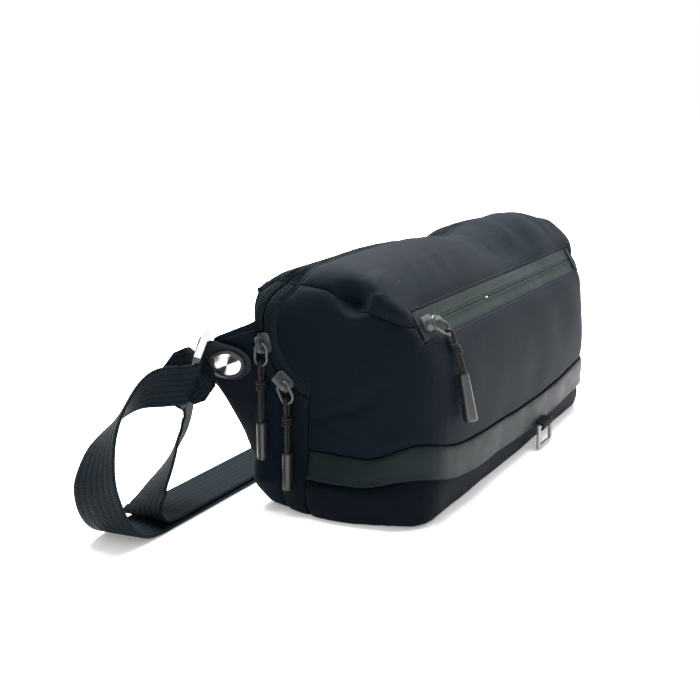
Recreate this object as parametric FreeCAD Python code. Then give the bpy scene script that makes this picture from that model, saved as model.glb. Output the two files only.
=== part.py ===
"""Sling bag with a coated front zip, a two-way main zip round its top and ends, two wings and a webbing strap.

Frame: millimetres, +Z up, X along the bag, the front faces -Y, the back (worn side) faces +Y.
The origin is the middle of the flat base that the bag stands on.
Each function makes one sub-part or one family of them, and main() writes one STEP per sub-part.
"""
import FreeCAD
import Part
import math
import os

V = FreeCAD.Vector

# ---- driving dimensions: the bag's outer form ----------------------------------------------
HALF_LENGTH = 148.0
BODY_HEIGHT = 135.8
FRONT_Y = -53.0                  # front panel at the top of the hem band
BACK_Y = 55.0
BASE_FRONT_Y = -46.0             # the base is narrower than the bag above it
BASE_TUCK = 11.0                 # how far the back tucks in under the bag
BASE_END_TUCK = 8.0
TUCK_HEIGHT = 16.0
TOP_BACK_RADIUS = 23.0
END_TOP_RADIUS = 24.0
FRONT_CORNER = 32.0
BACK_CORNER = 10.0

# ---- layers of cloth and padding -----------------------------------------------------------
CLOTH = 1.4
FOAM = 3.0
LINING = 0.6
LAYER_GAP = 0.2

# ---- hem band ------------------------------------------------------------------------------
HEM_LOW = 20.0
HEM_HIGH = 38.0
HEM_PROUD = 1.1
HEM_REAR_Y = 20.0                # the band stops here on both ends of the bag
SEAM = 0.2                       # gap between panels that are sewn edge to edge

# ---- main zip: an arc on each end of the bag, joined by a straight run along the top --------
ZIP_Y = 8.0
ZIP_Z = BODY_HEIGHT - 35.8
ZIP_RADIUS = 36.0
ZIP_FOOT = -62.0                 # degrees round the arc, where the zip ends
ZIP_SHOULDER = 45.0              # degrees round the arc, where it straightens towards the top
ZIP_TOP_LEAN = 27.0              # lean of that straight stretch, forward of upright
MAIN_TAPE_HALF = 7.5
FOAM_CLEAR = 2.0                 # foam and lining stop this far short of the tapes

# ---- front zip, on the sloping strip above the front panel ----------------------------------
SLOPE_LOW_Y, SLOPE_LOW_Z = FRONT_Y + 6.5, BODY_HEIGHT - 43.8
SLOPE_HIGH_Y, SLOPE_HIGH_Z = FRONT_Y + 22.0, BODY_HEIGHT - 17.8
WINDOW_HALF = HALF_LENGTH - 14.0
FRONT_TAPE_HALF = 8.0
END_STOP = 5.0

# ---- chain and sliders ---------------------------------------------------------------------
TAPE = 0.9
TAPE_SUNK = 0.2                  # the tape lies this far below the cloth's face
CHAIN = 2.0                      # thickness of the coil
COIL_SEAT = 0.05                 # stitch gap between tape and coil
ROW = 2.6                        # width of one row of coil
CHAIN_GAP = 1.2                  # between the two rows, where the slider's post runs
POST = 0.8
SLIDER_CLEAR = 0.3
KEEL_CLEAR = 0.4                 # under the coil, which dips a little at the bag's back corner
SLIDER_LENGTH, SLIDER_WIDTH, PLATE = 11.0, 8.6, 1.2
BRIDGE_WIDTH, BRIDGE_HEIGHT, BRIDGE_ROOF = 2.0, 5.9, 1.2
BRIDGE_LEG = 1.4
FRONT_SLIDER_X = 11.5 - WINDOW_HALF
UPPER_SLIDER_AT, LOWER_SLIDER_AT = -13.0, -50.0

# ---- pulls ---------------------------------------------------------------------------------
RING_WIRE = 1.5
BRIDGE_LENGTH = 5.6 + 2 * RING_WIRE
MAIN_RING_LONG, MAIN_RING_WIDE = 13.0, 8.6
FRONT_RING_LONG, FRONT_RING_WIDE = 17.0, 9.4
FRONT_RING_LEAN = 58.0           # degrees that the front ring hangs off straight down the slope
LOWER_RING_LEAN = 25.0           # degrees that the lower ring hangs off its slider's line
FRONT_SWAY = 4.2                 # how far the front pull stands off, to hang clear of the panel
PULL_CORD = 2.0
CORD_CLEAR = 0.6
CORD_SEAT = 0.15                 # between the cord's ends and the pull end
STRAND = 1.05                    # half the distance between the two strands at the pull end
END_TUBE, END_TUBE_LONG = 5.6, 20.5
FRONT_TUBE_TOP, FRONT_TUBE_FOOT, FRONT_TUBE_LONG = 5.8, 7.8, 26.0
UPPER_CORD_DROP, LOWER_CORD_DROP, FRONT_CORD_DROP = 31.0, 27.0, 21.0

# ---- wings, tab, rivet and buckle ----------------------------------------------------------
WING = 4.0
WING_TIP, WING_ROOT_LOW, WING_ROOT_HIGH = 26.0, 8.0, BODY_HEIGHT - 31.8
WING_SPREAD = 22.0               # how much wider the wing is by the tab's tip than at its own tip
WING_PLAY = 10.0                 # room kept free round the tab's bar
TAB, TAB_WIDTH, TAB_LONG = 1.6, 24.0, 28.0
TAB_CLEAR = 0.3
RIVET_AT = 15.0                  # from the tab's bar
RIVET_SHANK = 6.0
RIVET_RING, RIVET_RING_HIGH = 19.6, 1.8
RIVET_CAP, RIVET_CAP_HIGH = 15.4, 1.2
WASHER, WASHER_DROP = 1.0, 2.9   # the wing thickens towards the bag, so the washer sits lower
WEBBING, WEBBING_THICK = 30.0, 1.8
BAR = 3.0
BAR_SPACING = 10.5
RAIL = 3.6
FRAME_CLEAR = 1.0                # webbing edge to the buckle's rail
TAIL_FOLD, TAIL_END = 24.0, 80.0

# ---- accessory hook ------------------------------------------------------------------------
HOOK_X = 30.0
HOOK_WIDE, HOOK_HIGH, HOOK_ROD = 26.0, 15.0, 2.4
HOOK_STRAP, HOOK_STRAP_THICK = 18.0, 1.2
HOOK_DROP = 5.5                  # hinge below the hem band's lower edge
HOOK_OFF = 0.6                   # wire's clearance off the band

# ---- inside --------------------------------------------------------------------------------
POCKET_HALF, POCKET_DEEP, POCKET_LOW = HALF_LENGTH - 38.0, 9.0, 48.0
POCKET_HIGH = BODY_HEIGHT - 38.8
POCKET_FRONT_HIGH = POCKET_HIGH - 19.0
DIVIDER_HALF, DIVIDER_HIGH, DIVIDER, SLIP_POCKET = HALF_LENGTH - 38.0, BODY_HEIGHT - 45.8, 0.8, 5.4

BIG = 500.0                      # longer than anything here

# The buckle hangs off the tab's bar. Its bars run down and back, and it reaches out to the left.
TAB_BAR = V(-HALF_LENGTH - 16.5, BACK_Y + 17.5, BODY_HEIGHT - 49.8)
BAR_WAY = V(0.304, 0.502, -0.834).normalize()
TAB_FACE = V(-0.80, -0.31, -0.48).normalize()
TAB_WAY = TAB_FACE.cross(BAR_WAY).normalize()
BUCKLE_WAY = V(-0.832, -0.250, -0.450).normalize()


# ---- helpers -------------------------------------------------------------------------------
def placed(shape, origin, x_way, y_way):
    """shape, drawn at the world's origin, moved so its X and Y point in the given ways."""
    x = V(x_way).normalize()
    z = x.cross(V(y_way)).normalize()
    y = z.cross(x)
    matrix = FreeCAD.Matrix(x.x, y.x, z.x, origin.x, x.y, y.y, z.y, origin.y,
                            x.z, y.z, z.z, origin.z, 0, 0, 0, 1)
    out = shape.copy()
    out.transformShape(matrix, True)
    return out


def box(x0, x1, y0, y1, z0, z1):
    """A box between two corners."""
    return Part.makeBox(x1 - x0, y1 - y0, z1 - z0, V(x0, y0, z0))


def loft(wires):
    """A solid through sections, with flat or evenly turning faces between them."""
    solid = Part.makeLoft(wires, True, True)
    return solid if solid.Volume > 0 else Part.makeLoft(wires[::-1], True, True)


def rod(start, end, diameter):
    """A round rod between two points."""
    return Part.makeCylinder(diameter / 2, (end - start).Length, start, end - start)


def mirrored(shape):
    """shape on the other end of the bag."""
    return shape.mirror(V(0, 0, 0), V(1, 0, 0))


def line(a, b):
    """A straight edge."""
    return Part.LineSegment(a, b).toShape()


def arc(a, middle, b):
    """A round edge through three points."""
    return Part.Arc(a, middle, b).toShape()


def side_point(y, z):
    """A point of a profile drawn in the plane across the bag."""
    return V(-BIG / 2, y, z)


def side_profile():
    """The bag's outline seen from its end."""
    k = TOP_BACK_RADIUS * (1 - math.sqrt(0.5))
    p = side_point
    crown = BACK_Y - TOP_BACK_RADIUS
    base_back = BACK_Y - BASE_TUCK
    return [
        line(p(base_back, 0), p(BASE_FRONT_Y, 0)),
        line(p(BASE_FRONT_Y, 0), p(FRONT_Y + 1, HEM_LOW)),
        line(p(FRONT_Y + 1, HEM_LOW), p(FRONT_Y, HEM_HIGH)),
        arc(p(FRONT_Y, HEM_HIGH), p(FRONT_Y + 1.5, (HEM_HIGH + SLOPE_LOW_Z) / 2 + 1), p(SLOPE_LOW_Y, SLOPE_LOW_Z)),
        line(p(SLOPE_LOW_Y, SLOPE_LOW_Z), p(SLOPE_HIGH_Y, SLOPE_HIGH_Z)),
        arc(p(SLOPE_HIGH_Y, SLOPE_HIGH_Z), p(-14, BODY_HEIGHT - 4.8), p(10, BODY_HEIGHT)),
        line(p(10, BODY_HEIGHT), p(crown, BODY_HEIGHT)),
        arc(p(crown, BODY_HEIGHT), p(BACK_Y - k, BODY_HEIGHT - k), p(BACK_Y, BODY_HEIGHT - TOP_BACK_RADIUS)),
        line(p(BACK_Y, BODY_HEIGHT - TOP_BACK_RADIUS), p(BACK_Y, TUCK_HEIGHT)),
        line(p(BACK_Y, TUCK_HEIGHT), p(base_back, 0)),
    ]


def end_profile():
    """The bag's outline seen from the front, taller than the bag so that it rounds only the ends."""
    h, r = HALF_LENGTH, END_TOP_RADIUS
    k = r * (1 - math.sqrt(0.5))
    shoulder, top = BODY_HEIGHT - r, BODY_HEIGHT + 0.001
    b = h - BASE_END_TUCK

    def p(x, z):
        return V(x, -BIG / 2, z)

    return [
        line(p(-b, 0), p(b, 0)),
        line(p(b, 0), p(h, TUCK_HEIGHT)),
        line(p(h, TUCK_HEIGHT), p(h, shoulder)),
        arc(p(h, shoulder), p(h - k, top - k), p(h - r, top)),
        line(p(h - r, top), p(-h + r, top)),
        arc(p(-h + r, top), p(-h + k, top - k), p(-h, shoulder)),
        line(p(-h, shoulder), p(-h, TUCK_HEIGHT)),
        line(p(-h, TUCK_HEIGHT), p(-b, 0)),
    ]


def plan_profile():
    """The bag's outline seen from above."""
    h, f, b = HALF_LENGTH, FRONT_CORNER, BACK_CORNER
    k = 1 - math.sqrt(0.5)

    def p(x, y):
        return V(x, y, -BIG / 2)

    front = [line(p(-h + f, FRONT_Y), p(h - f, FRONT_Y)),
             arc(p(h - f, FRONT_Y), p(h - f * k, FRONT_Y + f * k), p(h, FRONT_Y + f)),
             line(p(h, FRONT_Y + f), p(h, BACK_Y - b)),
             arc(p(h, BACK_Y - b), p(h - b * k, BACK_Y - b * k), p(h - b, BACK_Y))]
    back = [line(p(h - b, BACK_Y), p(-h + b, BACK_Y)),
            arc(p(-h + b, BACK_Y), p(-h + b * k, BACK_Y - b * k), p(-h, BACK_Y - b)),
            line(p(-h, BACK_Y - b), p(-h, FRONT_Y + f)),
            arc(p(-h, FRONT_Y + f), p(-h + f * k, FRONT_Y + f * k), p(-h + f, FRONT_Y))]
    return front + back


def offset_face(edges, inset):
    """A closed outline drawn in by inset, as a face."""
    wire = Part.Wire(edges)
    if inset:
        wire = wire.makeOffset2D(-inset, 2, False, False)
    return Part.Face(wire)


def body(inset):
    """The bag's outer form, drawn in on every side by inset (or out, where it is negative)."""
    side = offset_face(side_profile(), inset).extrude(V(BIG, 0, 0))
    end = offset_face(end_profile(), inset).extrude(V(0, BIG, 0))
    plan = offset_face(plan_profile(), inset).extrude(V(0, 0, BIG))
    return side.common(end).common(plan)


def layer(outer, inner):
    """The shell between two insets of the bag's form."""
    return body(outer).cut(body(inner))


def zip_point(angle):
    """Y and Z of a point of the main zip's arc."""
    a = math.radians(angle)
    return ZIP_Y + ZIP_RADIUS * math.cos(a), ZIP_Z + ZIP_RADIUS * math.sin(a)


def inside_zip(inset):
    """Everything in front of the main zip's line and under it, drawn in by inset."""
    radius, centre = ZIP_RADIUS - inset, side_point(ZIP_Y, ZIP_Z)
    foot_y = zip_point(ZIP_FOOT)[0] - inset
    foot = side_point(foot_y, ZIP_Z - math.sqrt(radius ** 2 - (foot_y - ZIP_Y) ** 2))
    side = centre + V(0, radius, 0)
    lean = math.radians(ZIP_TOP_LEAN)
    rise, off = V(0, -math.sin(lean), math.cos(lean)), V(0, math.cos(lean), math.sin(lean))
    base = side_point(*zip_point(ZIP_SHOULDER)) - off * inset
    b = (base - centre).dot(rise)
    shoulder = base + rise * (math.sqrt(b * b - (base - centre).dot(base - centre) + radius ** 2) - b)
    far, high = -BIG / 2, BIG / 2
    summit = shoulder + rise * ((high - shoulder.z) / rise.z)
    edges = [line(side_point(far, far), side_point(foot_y, far)), line(side_point(foot_y, far), foot),
             arc(foot, side, shoulder), line(shoulder, summit),
             line(summit, side_point(far, high)), line(side_point(far, high), side_point(far, far))]
    return Part.Face(Part.Wire(edges)).extrude(V(BIG, 0, 0))


def above_jaw(gap):
    """Everything above the slanting line from the hem's top to the zip's ends, plus a gap."""
    y, z = zip_point(ZIP_FOOT)
    way = V(0, y - FRONT_Y, z - HEM_HIGH).normalize()
    up = V(0, -way.z, way.y)
    base = V(0, FRONT_Y, HEM_HIGH) + up * gap
    return placed(box(-BIG, BIG, -BIG / 2, BIG / 2, 0, BIG), base, V(1, 0, 0), way)


def flap_space(inset, gap):
    """The part of space that swings with the front flap."""
    return inside_zip(inset).common(above_jaw(gap))


def slope_frame():
    """Origin, up-slope way and outward way of the front zip's sloping strip."""
    low, high = V(0, SLOPE_LOW_Y, SLOPE_LOW_Z), V(0, SLOPE_HIGH_Y, SLOPE_HIGH_Z)
    up = (high - low).normalize()
    return (low + high) * 0.5, up, V(0, -up.z, up.y)


def on_slope(x0, x1, up0, up1, out0, out1):
    """A box laid on the sloping strip: along X, up the slope, and out of its face."""
    origin, up, out = slope_frame()
    return placed(box(x0, x1, up0, up1, out0, out1), origin, V(1, 0, 0), up)


# ---- cloth panels --------------------------------------------------------------------------
def window(clear, depth):
    """The front zip's window in the cloth, grown by clear."""
    w, t = WINDOW_HALF + clear, FRONT_TAPE_HALF + clear
    return on_slope(-w, w, -t, t, -depth, depth)


def front_flap_panels():
    """Front panel with its wrapped ends, and top panel, on the flap."""
    cloth = layer(0, CLOTH).common(flap_space(MAIN_TAPE_HALF + SEAM, SEAM)).cut(window(SEAM, 8))
    origin = slope_frame()[0]
    top_space = box(-BIG, BIG, -BIG, BIG, origin.z, BIG)
    low_space = box(-BIG, BIG, -BIG, BIG, -BIG, origin.z - SEAM)
    return {"top_panel": cloth.common(top_space), "front_panel": cloth.common(low_space)}


def jaw_gap_space():
    """Space below the slanting line and in front of the zip's ends."""
    y, z = zip_point(ZIP_FOOT)
    return box(-BIG, BIG, -BIG, y - SEAM, -BIG, BIG).cut(above_jaw(-SEAM))


def lower_panels():
    """Base, lower panel, hem band and the gussets of both ends."""
    cloth = layer(0, CLOTH)
    floor_z = CLOTH + SEAM
    space = jaw_gap_space()
    ring = layer(-HEM_PROUD, CLOTH).common(space)
    gussets = cloth.common(space).common(box(-BIG, BIG, FRONT_Y + 3, BIG, HEM_HIGH + SEAM, BIG))
    hem = ring.common(box(-BIG, BIG, -BIG, HEM_REAR_Y, HEM_LOW, HEM_HIGH - SEAM))
    behind = cloth.common(space).common(box(-BIG, BIG, HEM_REAR_Y + SEAM, BIG, HEM_LOW, HEM_HIGH + SEAM))
    rear = gussets.fuse(behind)
    return {
        "base_panel": cloth.common(box(-BIG, BIG, -BIG, BIG, -1, CLOTH)),
        "lower_panel": cloth.common(space).common(box(-BIG, BIG, -BIG, BIG, floor_z, HEM_LOW - SEAM)),
        "hem_band": hem,
        "left_gusset": rear.common(box(-BIG, 0, -BIG, BIG, -BIG, BIG)),
        "right_gusset": rear.common(box(0, BIG, -BIG, BIG, -BIG, BIG)),
    }


def back_space(gap):
    """Everything behind the main zip's line and its arc, and behind the gussets."""
    return box(-BIG, BIG, -BIG, BIG, -BIG, BIG).cut(inside_zip(-gap))


def back_panel():
    """The worn side, with the strip of cloth behind the main zip."""
    cloth = layer(0, CLOTH).common(box(-BIG, BIG, -BIG, BIG, CLOTH + SEAM, BIG))
    strip = back_space(0).cut(flap_space(-MAIN_TAPE_HALF - SEAM, -SEAM))
    return cloth.common(strip)


def padding():
    """Foam of the flap, the back and the base, one step in from the cloth."""
    outer = CLOTH + LAYER_GAP
    foam = layer(outer, outer + FOAM)
    clear = MAIN_TAPE_HALF + FOAM_CLEAR
    flap = foam.common(flap_space(clear, SEAM + 1)).cut(window(FOAM_CLEAR, 12))
    rest = foam.cut(flap_space(-clear, -SEAM - 1))
    wall = BACK_Y - outer - FOAM
    return {"front_foam": flap,
            "back_foam": rest.common(box(-BIG, BIG, wall, BIG, TUCK_HEIGHT, BIG)),
            "base_foam": rest.common(box(-BIG, BIG, -BIG, BIG, -1, TUCK_HEIGHT - SEAM))}


def lining_depth():
    """The lining's inset: under the foam, and under the sliders' lower plates."""
    return max(CLOTH + FOAM + 2 * LAYER_GAP, TAPE_SUNK + TAPE + CHAIN + KEEL_CLEAR + PLATE + SEAM / 2)


def linings():
    """Inner bag cloth of the flap and of the rest of the bag."""
    outer = lining_depth()
    cloth = layer(outer, outer + LINING)
    clear = MAIN_TAPE_HALF + FOAM_CLEAR
    return {"front_lining": cloth.common(flap_space(clear, SEAM + 1)).cut(window(FOAM_CLEAR, 14)),
            "main_lining": cloth.cut(flap_space(-clear, -SEAM - 1))}


def front_pocket():
    """The pouch behind the front zip, open at its top, its front wall lower than its back."""
    outer = lining_depth() + LINING + LAYER_GAP
    wall = LINING
    deep = outer + 2 * wall + POCKET_DEEP
    side, low = POCKET_HALF, POCKET_LOW
    front = box(-side, side, -BIG, 0, low, POCKET_HIGH)
    hollow = layer(outer + wall, deep - wall).common(
        box(-side + wall, side - wall, -BIG, 0, low + wall, BIG))
    pouch = layer(outer, deep).common(front).cut(hollow)
    front_wall = layer(outer - 1, outer + wall).common(box(-side, side, -BIG, 0, POCKET_FRONT_HIGH, BIG))
    return pouch.cut(front_wall)


def divider():
    """A flat slip pocket sheet that stands on the lining, in front of the back padding."""
    inner = lining_depth() + LINING
    y = BACK_Y - inner - SLIP_POCKET
    steep = TUCK_HEIGHT / BASE_TUCK
    foot = (y - BACK_Y + BASE_TUCK) * steep + inner * math.hypot(1, steep) + SEAM
    return box(-DIVIDER_HALF, DIVIDER_HALF, y - DIVIDER, y, foot, DIVIDER_HIGH)


# ---- zips ----------------------------------------------------------------------------------
def main_zip():
    """Tapes and coils of the main zip: one of each on the flap, one of each on the back."""
    tape = layer(TAPE_SUNK, TAPE_SUNK + TAPE)
    coil = layer(TAPE_SUNK + TAPE + COIL_SEAT, TAPE_SUNK + TAPE + CHAIN)
    gap = CHAIN_GAP / 2
    jaw = above_jaw(SEAM)
    front = inside_zip(gap).cut(inside_zip(MAIN_TAPE_HALF)).common(jaw)
    rear = inside_zip(-MAIN_TAPE_HALF).cut(inside_zip(-gap)).common(jaw)
    front_row = inside_zip(gap).cut(inside_zip(gap + ROW)).common(jaw)
    rear_row = inside_zip(-gap - ROW).cut(inside_zip(-gap)).common(jaw)
    return {"main_zip_tape_front": tape.common(front), "main_zip_coil_front": coil.common(front_row),
            "main_zip_tape_rear": tape.common(rear), "main_zip_coil_rear": coil.common(rear_row)}


def front_zip():
    """Tapes, coils and end pieces of the front zip."""
    gap, half, long = CHAIN_GAP / 2, FRONT_TAPE_HALF, WINDOW_HALF
    tape_out, coil_out = -TAPE_SUNK, -TAPE_SUNK - TAPE
    pieces = {}
    for name, way in (("lower", -1), ("upper", 1)):
        low, high = sorted((way * gap, way * half))
        pieces[f"front_zip_tape_{name}"] = on_slope(-long, long, low, high, coil_out, tape_out)
        low, high = sorted((way * gap, way * (gap + ROW)))
        pieces[f"front_zip_coil_{name}"] = on_slope(-long + END_STOP, long - END_STOP, low, high,
                                                    coil_out - CHAIN, coil_out)
    stops = [on_slope(x, x + END_STOP - SEAM, -half, half, tape_out, tape_out + PLATE / 2)
             for x in (-long, long - END_STOP + SEAM)]
    pieces["front_zip_end_patches"] = Part.makeCompound(stops)
    return pieces


def slider(origin, travel, out):
    """A slider's two plates and post, and its bridge, at a point of the zip's line."""
    across = out.cross(travel)
    lid = SLIDER_CLEAR - TAPE_SUNK
    keel = -(TAPE_SUNK + TAPE + CHAIN + KEEL_CLEAR)
    length, width = SLIDER_LENGTH, SLIDER_WIDTH
    top = box(-length / 2, length / 2, -width / 2, width / 2, lid, lid + PLATE)
    under = box(-length / 2, length / 2, -width / 2, width / 2, keel - PLATE, keel)
    post = box(-1.5, 1.5, -POST / 2, POST / 2, keel, lid)
    top = top.makeFillet(2.4, [e for e in top.Edges if abs(e.Vertexes[0].Z - e.Vertexes[1].Z) > PLATE / 2])
    foot = lid + PLATE
    arch = box(-BRIDGE_LENGTH / 2, BRIDGE_LENGTH / 2, -BRIDGE_WIDTH / 2, BRIDGE_WIDTH / 2,
               foot, foot + BRIDGE_HEIGHT)
    edges = [e for e in arch.Edges if abs(e.CenterOfMass.z - foot - BRIDGE_HEIGHT) < 0.01
             and abs(e.Vertexes[0].Y - e.Vertexes[1].Y) > 1]
    arch = arch.makeFillet(BRIDGE_ROOF, edges)
    hole = box(-BRIDGE_LENGTH / 2 + BRIDGE_LEG, BRIDGE_LENGTH / 2 - BRIDGE_LEG, -5, 5,
               foot - 0.01, foot + BRIDGE_HEIGHT - BRIDGE_ROOF)
    body_solid = top.fuse([under, post]).removeSplitter()
    return placed(body_solid, origin, travel, across), placed(arch.cut(hole), origin, travel, across)


def ring_height():
    """How far a ring's wire lies off the cloth, in the middle of its bridge's hole."""
    return SLIDER_CLEAR - TAPE_SUNK + PLATE + (BRIDGE_HEIGHT - BRIDGE_ROOF) / 2


def ring(top, hang, out, long, wide):
    """An oval wire ring that hangs from top, its wire's middle line at long and wide less the wire."""
    half = (wide - RING_WIRE) / 2
    straight = long - RING_WIRE - 2 * half
    p = V
    edges = [arc(p(0, -half, 0), p(-half, 0, 0), p(0, half, 0)),
             line(p(0, half, 0), p(straight, half, 0)),
             arc(p(straight, half, 0), p(straight + half, 0, 0), p(straight, -half, 0)),
             line(p(straight, -half, 0), p(0, -half, 0))]
    path = Part.Wire(edges)
    circle = Part.Wire(Part.Circle(p(0, -half, 0), p(-1, 0, 0), RING_WIRE / 2).toShape())
    solid = path.makePipeShell([circle], True, False)
    start = top + hang * half
    return placed(solid, start, hang, out.cross(hang))


def ring_foot(top, hang, long, wide, fall):
    """Middle of the ring's wire where it is lowest: on its end arc, the way things fall."""
    half = (wide - RING_WIRE) / 2
    return top + hang * (long - RING_WIRE - half) + fall * half


def rounded_route(points, diameter, name):
    """A tube along straight runs joined by tangent arcs, and a note of its length and radii."""
    edges, radii, start = [], [], points[0]
    for before, here, after in zip(points, points[1:], points[2:]):
        a, b = (before - here), (after - here)
        half = (math.pi - a.getAngle(b)) / 2
        radius = 0.45 * min(a.Length, b.Length) / math.tan(half)
        reach = radius * math.tan(half)
        a.normalize()
        b.normalize()
        enter, leave = here + a * reach, here + b * reach
        centre = here + (a + b).normalize() * (radius / math.cos(half))
        middle = centre + (here - centre).normalize() * radius
        edges.append(line(start, enter))
        edges.append(arc(enter, middle, leave))
        radii.append(radius)
        start = leave
    edges.append(line(start, points[-1]))
    path = Part.Wire(edges)
    circle = Part.Wire(Part.Circle(points[0], points[1] - points[0], diameter / 2).toShape())
    solid = path.makePipeShell([circle], True, False)
    expected = path.Length * math.pi * diameter ** 2 / 4
    print(f"{name}: length {path.Length:.1f} mm, smallest radius {min(radii):.2f} mm, "
          f"volume {solid.Volume / expected:.4f} of section times length")
    return solid


def sway_at(d, drop, sway):
    """How far a swaying cord stands off its straight line, d along it. It sways only below the ring."""
    below = RING_WIRE / 2 + CORD_CLEAR + PULL_CORD / 2
    return sway * (1 - (1 - max(d - below, 0) / (drop - below)) ** 2)


def cord_points(foot, hang, side, drop, sway=0.0):
    """The pull cord's route: up from the end tube, round the ring's lowest wire and down again."""
    loop = RING_WIRE / 2 + CORD_CLEAR + PULL_CORD / 2
    end = drop - CORD_SEAT
    shape = [(-STRAND, end), (-STRAND - 0.25, drop * 0.62), (-loop + 0.1, drop * 0.3), (-loop, -loop),
             (loop, -loop), (loop - 0.1, drop * 0.3), (STRAND + 0.25, drop * 0.62), (STRAND, end)]
    return [foot + side * (s + sway_at(d, drop, sway)) + hang * d for s, d in shape]


def straight_tube(top, hang, width, long):
    """A round moulded pull end."""
    solid = Part.makeCylinder(width / 2, long, top, hang)
    return solid.makeFillet(0.7, [e for e in solid.Edges if e.Length > width and len(e.Vertexes) == 1])


def tapered_tube(top, hang, narrow, wide, long):
    """A moulded pull end that widens downwards."""
    solid = Part.makeCone(narrow / 2, wide / 2, long, top, hang)
    return solid.makeFillet(0.7, [e for e in solid.Edges if e.Length > narrow and len(e.Vertexes) == 1])


def main_slider_set(name, angle, lean, drop):
    """One of the main zip's two sliders on the left end, with its ring, cord and pull end."""
    y, z = zip_point(angle)
    a = math.radians(angle)
    travel = V(0, -math.sin(a), math.cos(a))
    out, down = V(-1, 0, 0), V(0, 0, -1)
    b = a + math.radians(lean)
    hang = V(0, math.sin(b), -math.cos(b))
    origin = V(-HALF_LENGTH, y, z)
    body_solid, bridge = slider(origin, travel, out)
    top = origin + out * ring_height()
    foot = ring_foot(top, hang, MAIN_RING_LONG, MAIN_RING_WIDE, down)
    tube_top = foot + down * drop
    points = cord_points(foot, down, out, drop)
    return {f"{name}_slider": body_solid, f"{name}_bridge": bridge,
            f"{name}_ring": ring(top, hang, out, MAIN_RING_LONG, MAIN_RING_WIDE),
            f"{name}_cord": rounded_route(points, PULL_CORD, f"{name}_cord"),
            f"{name}_pull_end": straight_tube(tube_top, down, END_TUBE, END_TUBE_LONG)}


def front_slider_set():
    """The front zip's slider, with its ring, cord and tapered pull end."""
    origin, up, out = slope_frame()
    origin = origin + V(FRONT_SLIDER_X, 0, 0)
    body_solid, bridge = slider(origin, V(1, 0, 0), out)
    lean = math.radians(FRONT_RING_LEAN)
    hang = (up * -math.cos(lean) + V(1, 0, 0) * math.sin(lean)).normalize()
    top = origin + out * ring_height()
    foot = ring_foot(top, hang, FRONT_RING_LONG, FRONT_RING_WIDE, up * -1)
    down = V(0.06, -0.17, -1).normalize()
    side = out - down * out.dot(down)
    side.normalize()
    tube_top = foot + down * FRONT_CORD_DROP + side * FRONT_SWAY
    points = cord_points(foot, down, side, FRONT_CORD_DROP, FRONT_SWAY)
    return {"front_slider": body_solid, "front_bridge": bridge,
            "front_ring": ring(top, hang, out, FRONT_RING_LONG, FRONT_RING_WIDE),
            "front_cord": rounded_route(points, PULL_CORD, "front_cord"),
            "front_pull_end": tapered_tube(tube_top, down, FRONT_TUBE_TOP, FRONT_TUBE_FOOT, FRONT_TUBE_LONG)}


# ---- wings, tab, rivet, buckle -------------------------------------------------------------
def section(centre, wide_way, thick_way, wide, thick):
    """A rectangle across a strap or wing."""
    a, b = V(wide_way).normalize() * (wide / 2), V(thick_way).normalize() * (thick / 2)
    return Part.makePolygon([centre - a - b, centre + a - b, centre + a + b, centre - a + b, centre - a - b])


def on_tab(along, across, out):
    """A point given along the tab from its bar, across it, and out of its face."""
    return TAB_BAR + TAB_WAY * along + BAR_WAY * across + TAB_FACE * out


def tab_box(x0, x1, y0, y1, z0, z1):
    """A box laid on the tab."""
    return placed(box(x0, x1, y0, y1, z0, z1), TAB_BAR, TAB_WAY, BAR_WAY * -1)


def tab_rod(along, out0, out1, diameter):
    """A round piece that stands on the tab."""
    return rod(on_tab(along, 0, out0), on_tab(along, 0, out1), diameter)


def wing(with_rivet):
    """A padded wing on the left end, from the back's edge to its tip."""
    back = -(TAB / 2 + TAB_CLEAR + WING / 2)
    root_face = V(-0.83, -0.56, 0)
    root = V(-HALF_LENGTH + BACK_CORNER, BACK_Y - BACK_CORNER, (WING_ROOT_LOW + WING_ROOT_HIGH) / 2)
    wires = [
        section(on_tab(5, 1, back), BAR_WAY, TAB_FACE, WING_TIP, WING),
        section(on_tab(TAB_LONG * 0.66, 3, back - 1.5), BAR_WAY + V(0, 0, -0.3), TAB_FACE, WING_TIP + WING_SPREAD, WING),
        section(root, V(0, 0, -1), root_face, WING_ROOT_HIGH - WING_ROOT_LOW, WING),
    ]
    solid = loft(wires).cut(body(-SEAM / 2))
    grown = tab_box(-WING_PLAY, TAB_LONG + 3, -TAB_WIDTH, TAB_WIDTH, -TAB / 2 - TAB_CLEAR, TAB_LONG)
    beside_zip = rod(V(-BIG, ZIP_Y, ZIP_Z), V(0, ZIP_Y, ZIP_Z), 2 * (ZIP_RADIUS + MAIN_TAPE_HALF))
    solid = solid.cut(grown).cut(beside_zip)
    if with_rivet:
        washer_front = -(TAB / 2 + TAB_CLEAR + WING + WASHER_DROP)
        solid = solid.cut(tab_rod(RIVET_AT, -TAB_LONG, TAB_LONG, RIVET_SHANK + 2 * SEAM))
        solid = solid.cut(tab_rod(RIVET_AT, -TAB_LONG, washer_front + SEAM / 4, RIVET_CAP + 2 * SEAM))
    solids = sorted(solid.Solids, key=lambda s: s.Volume)
    return solids[-1]


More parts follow.
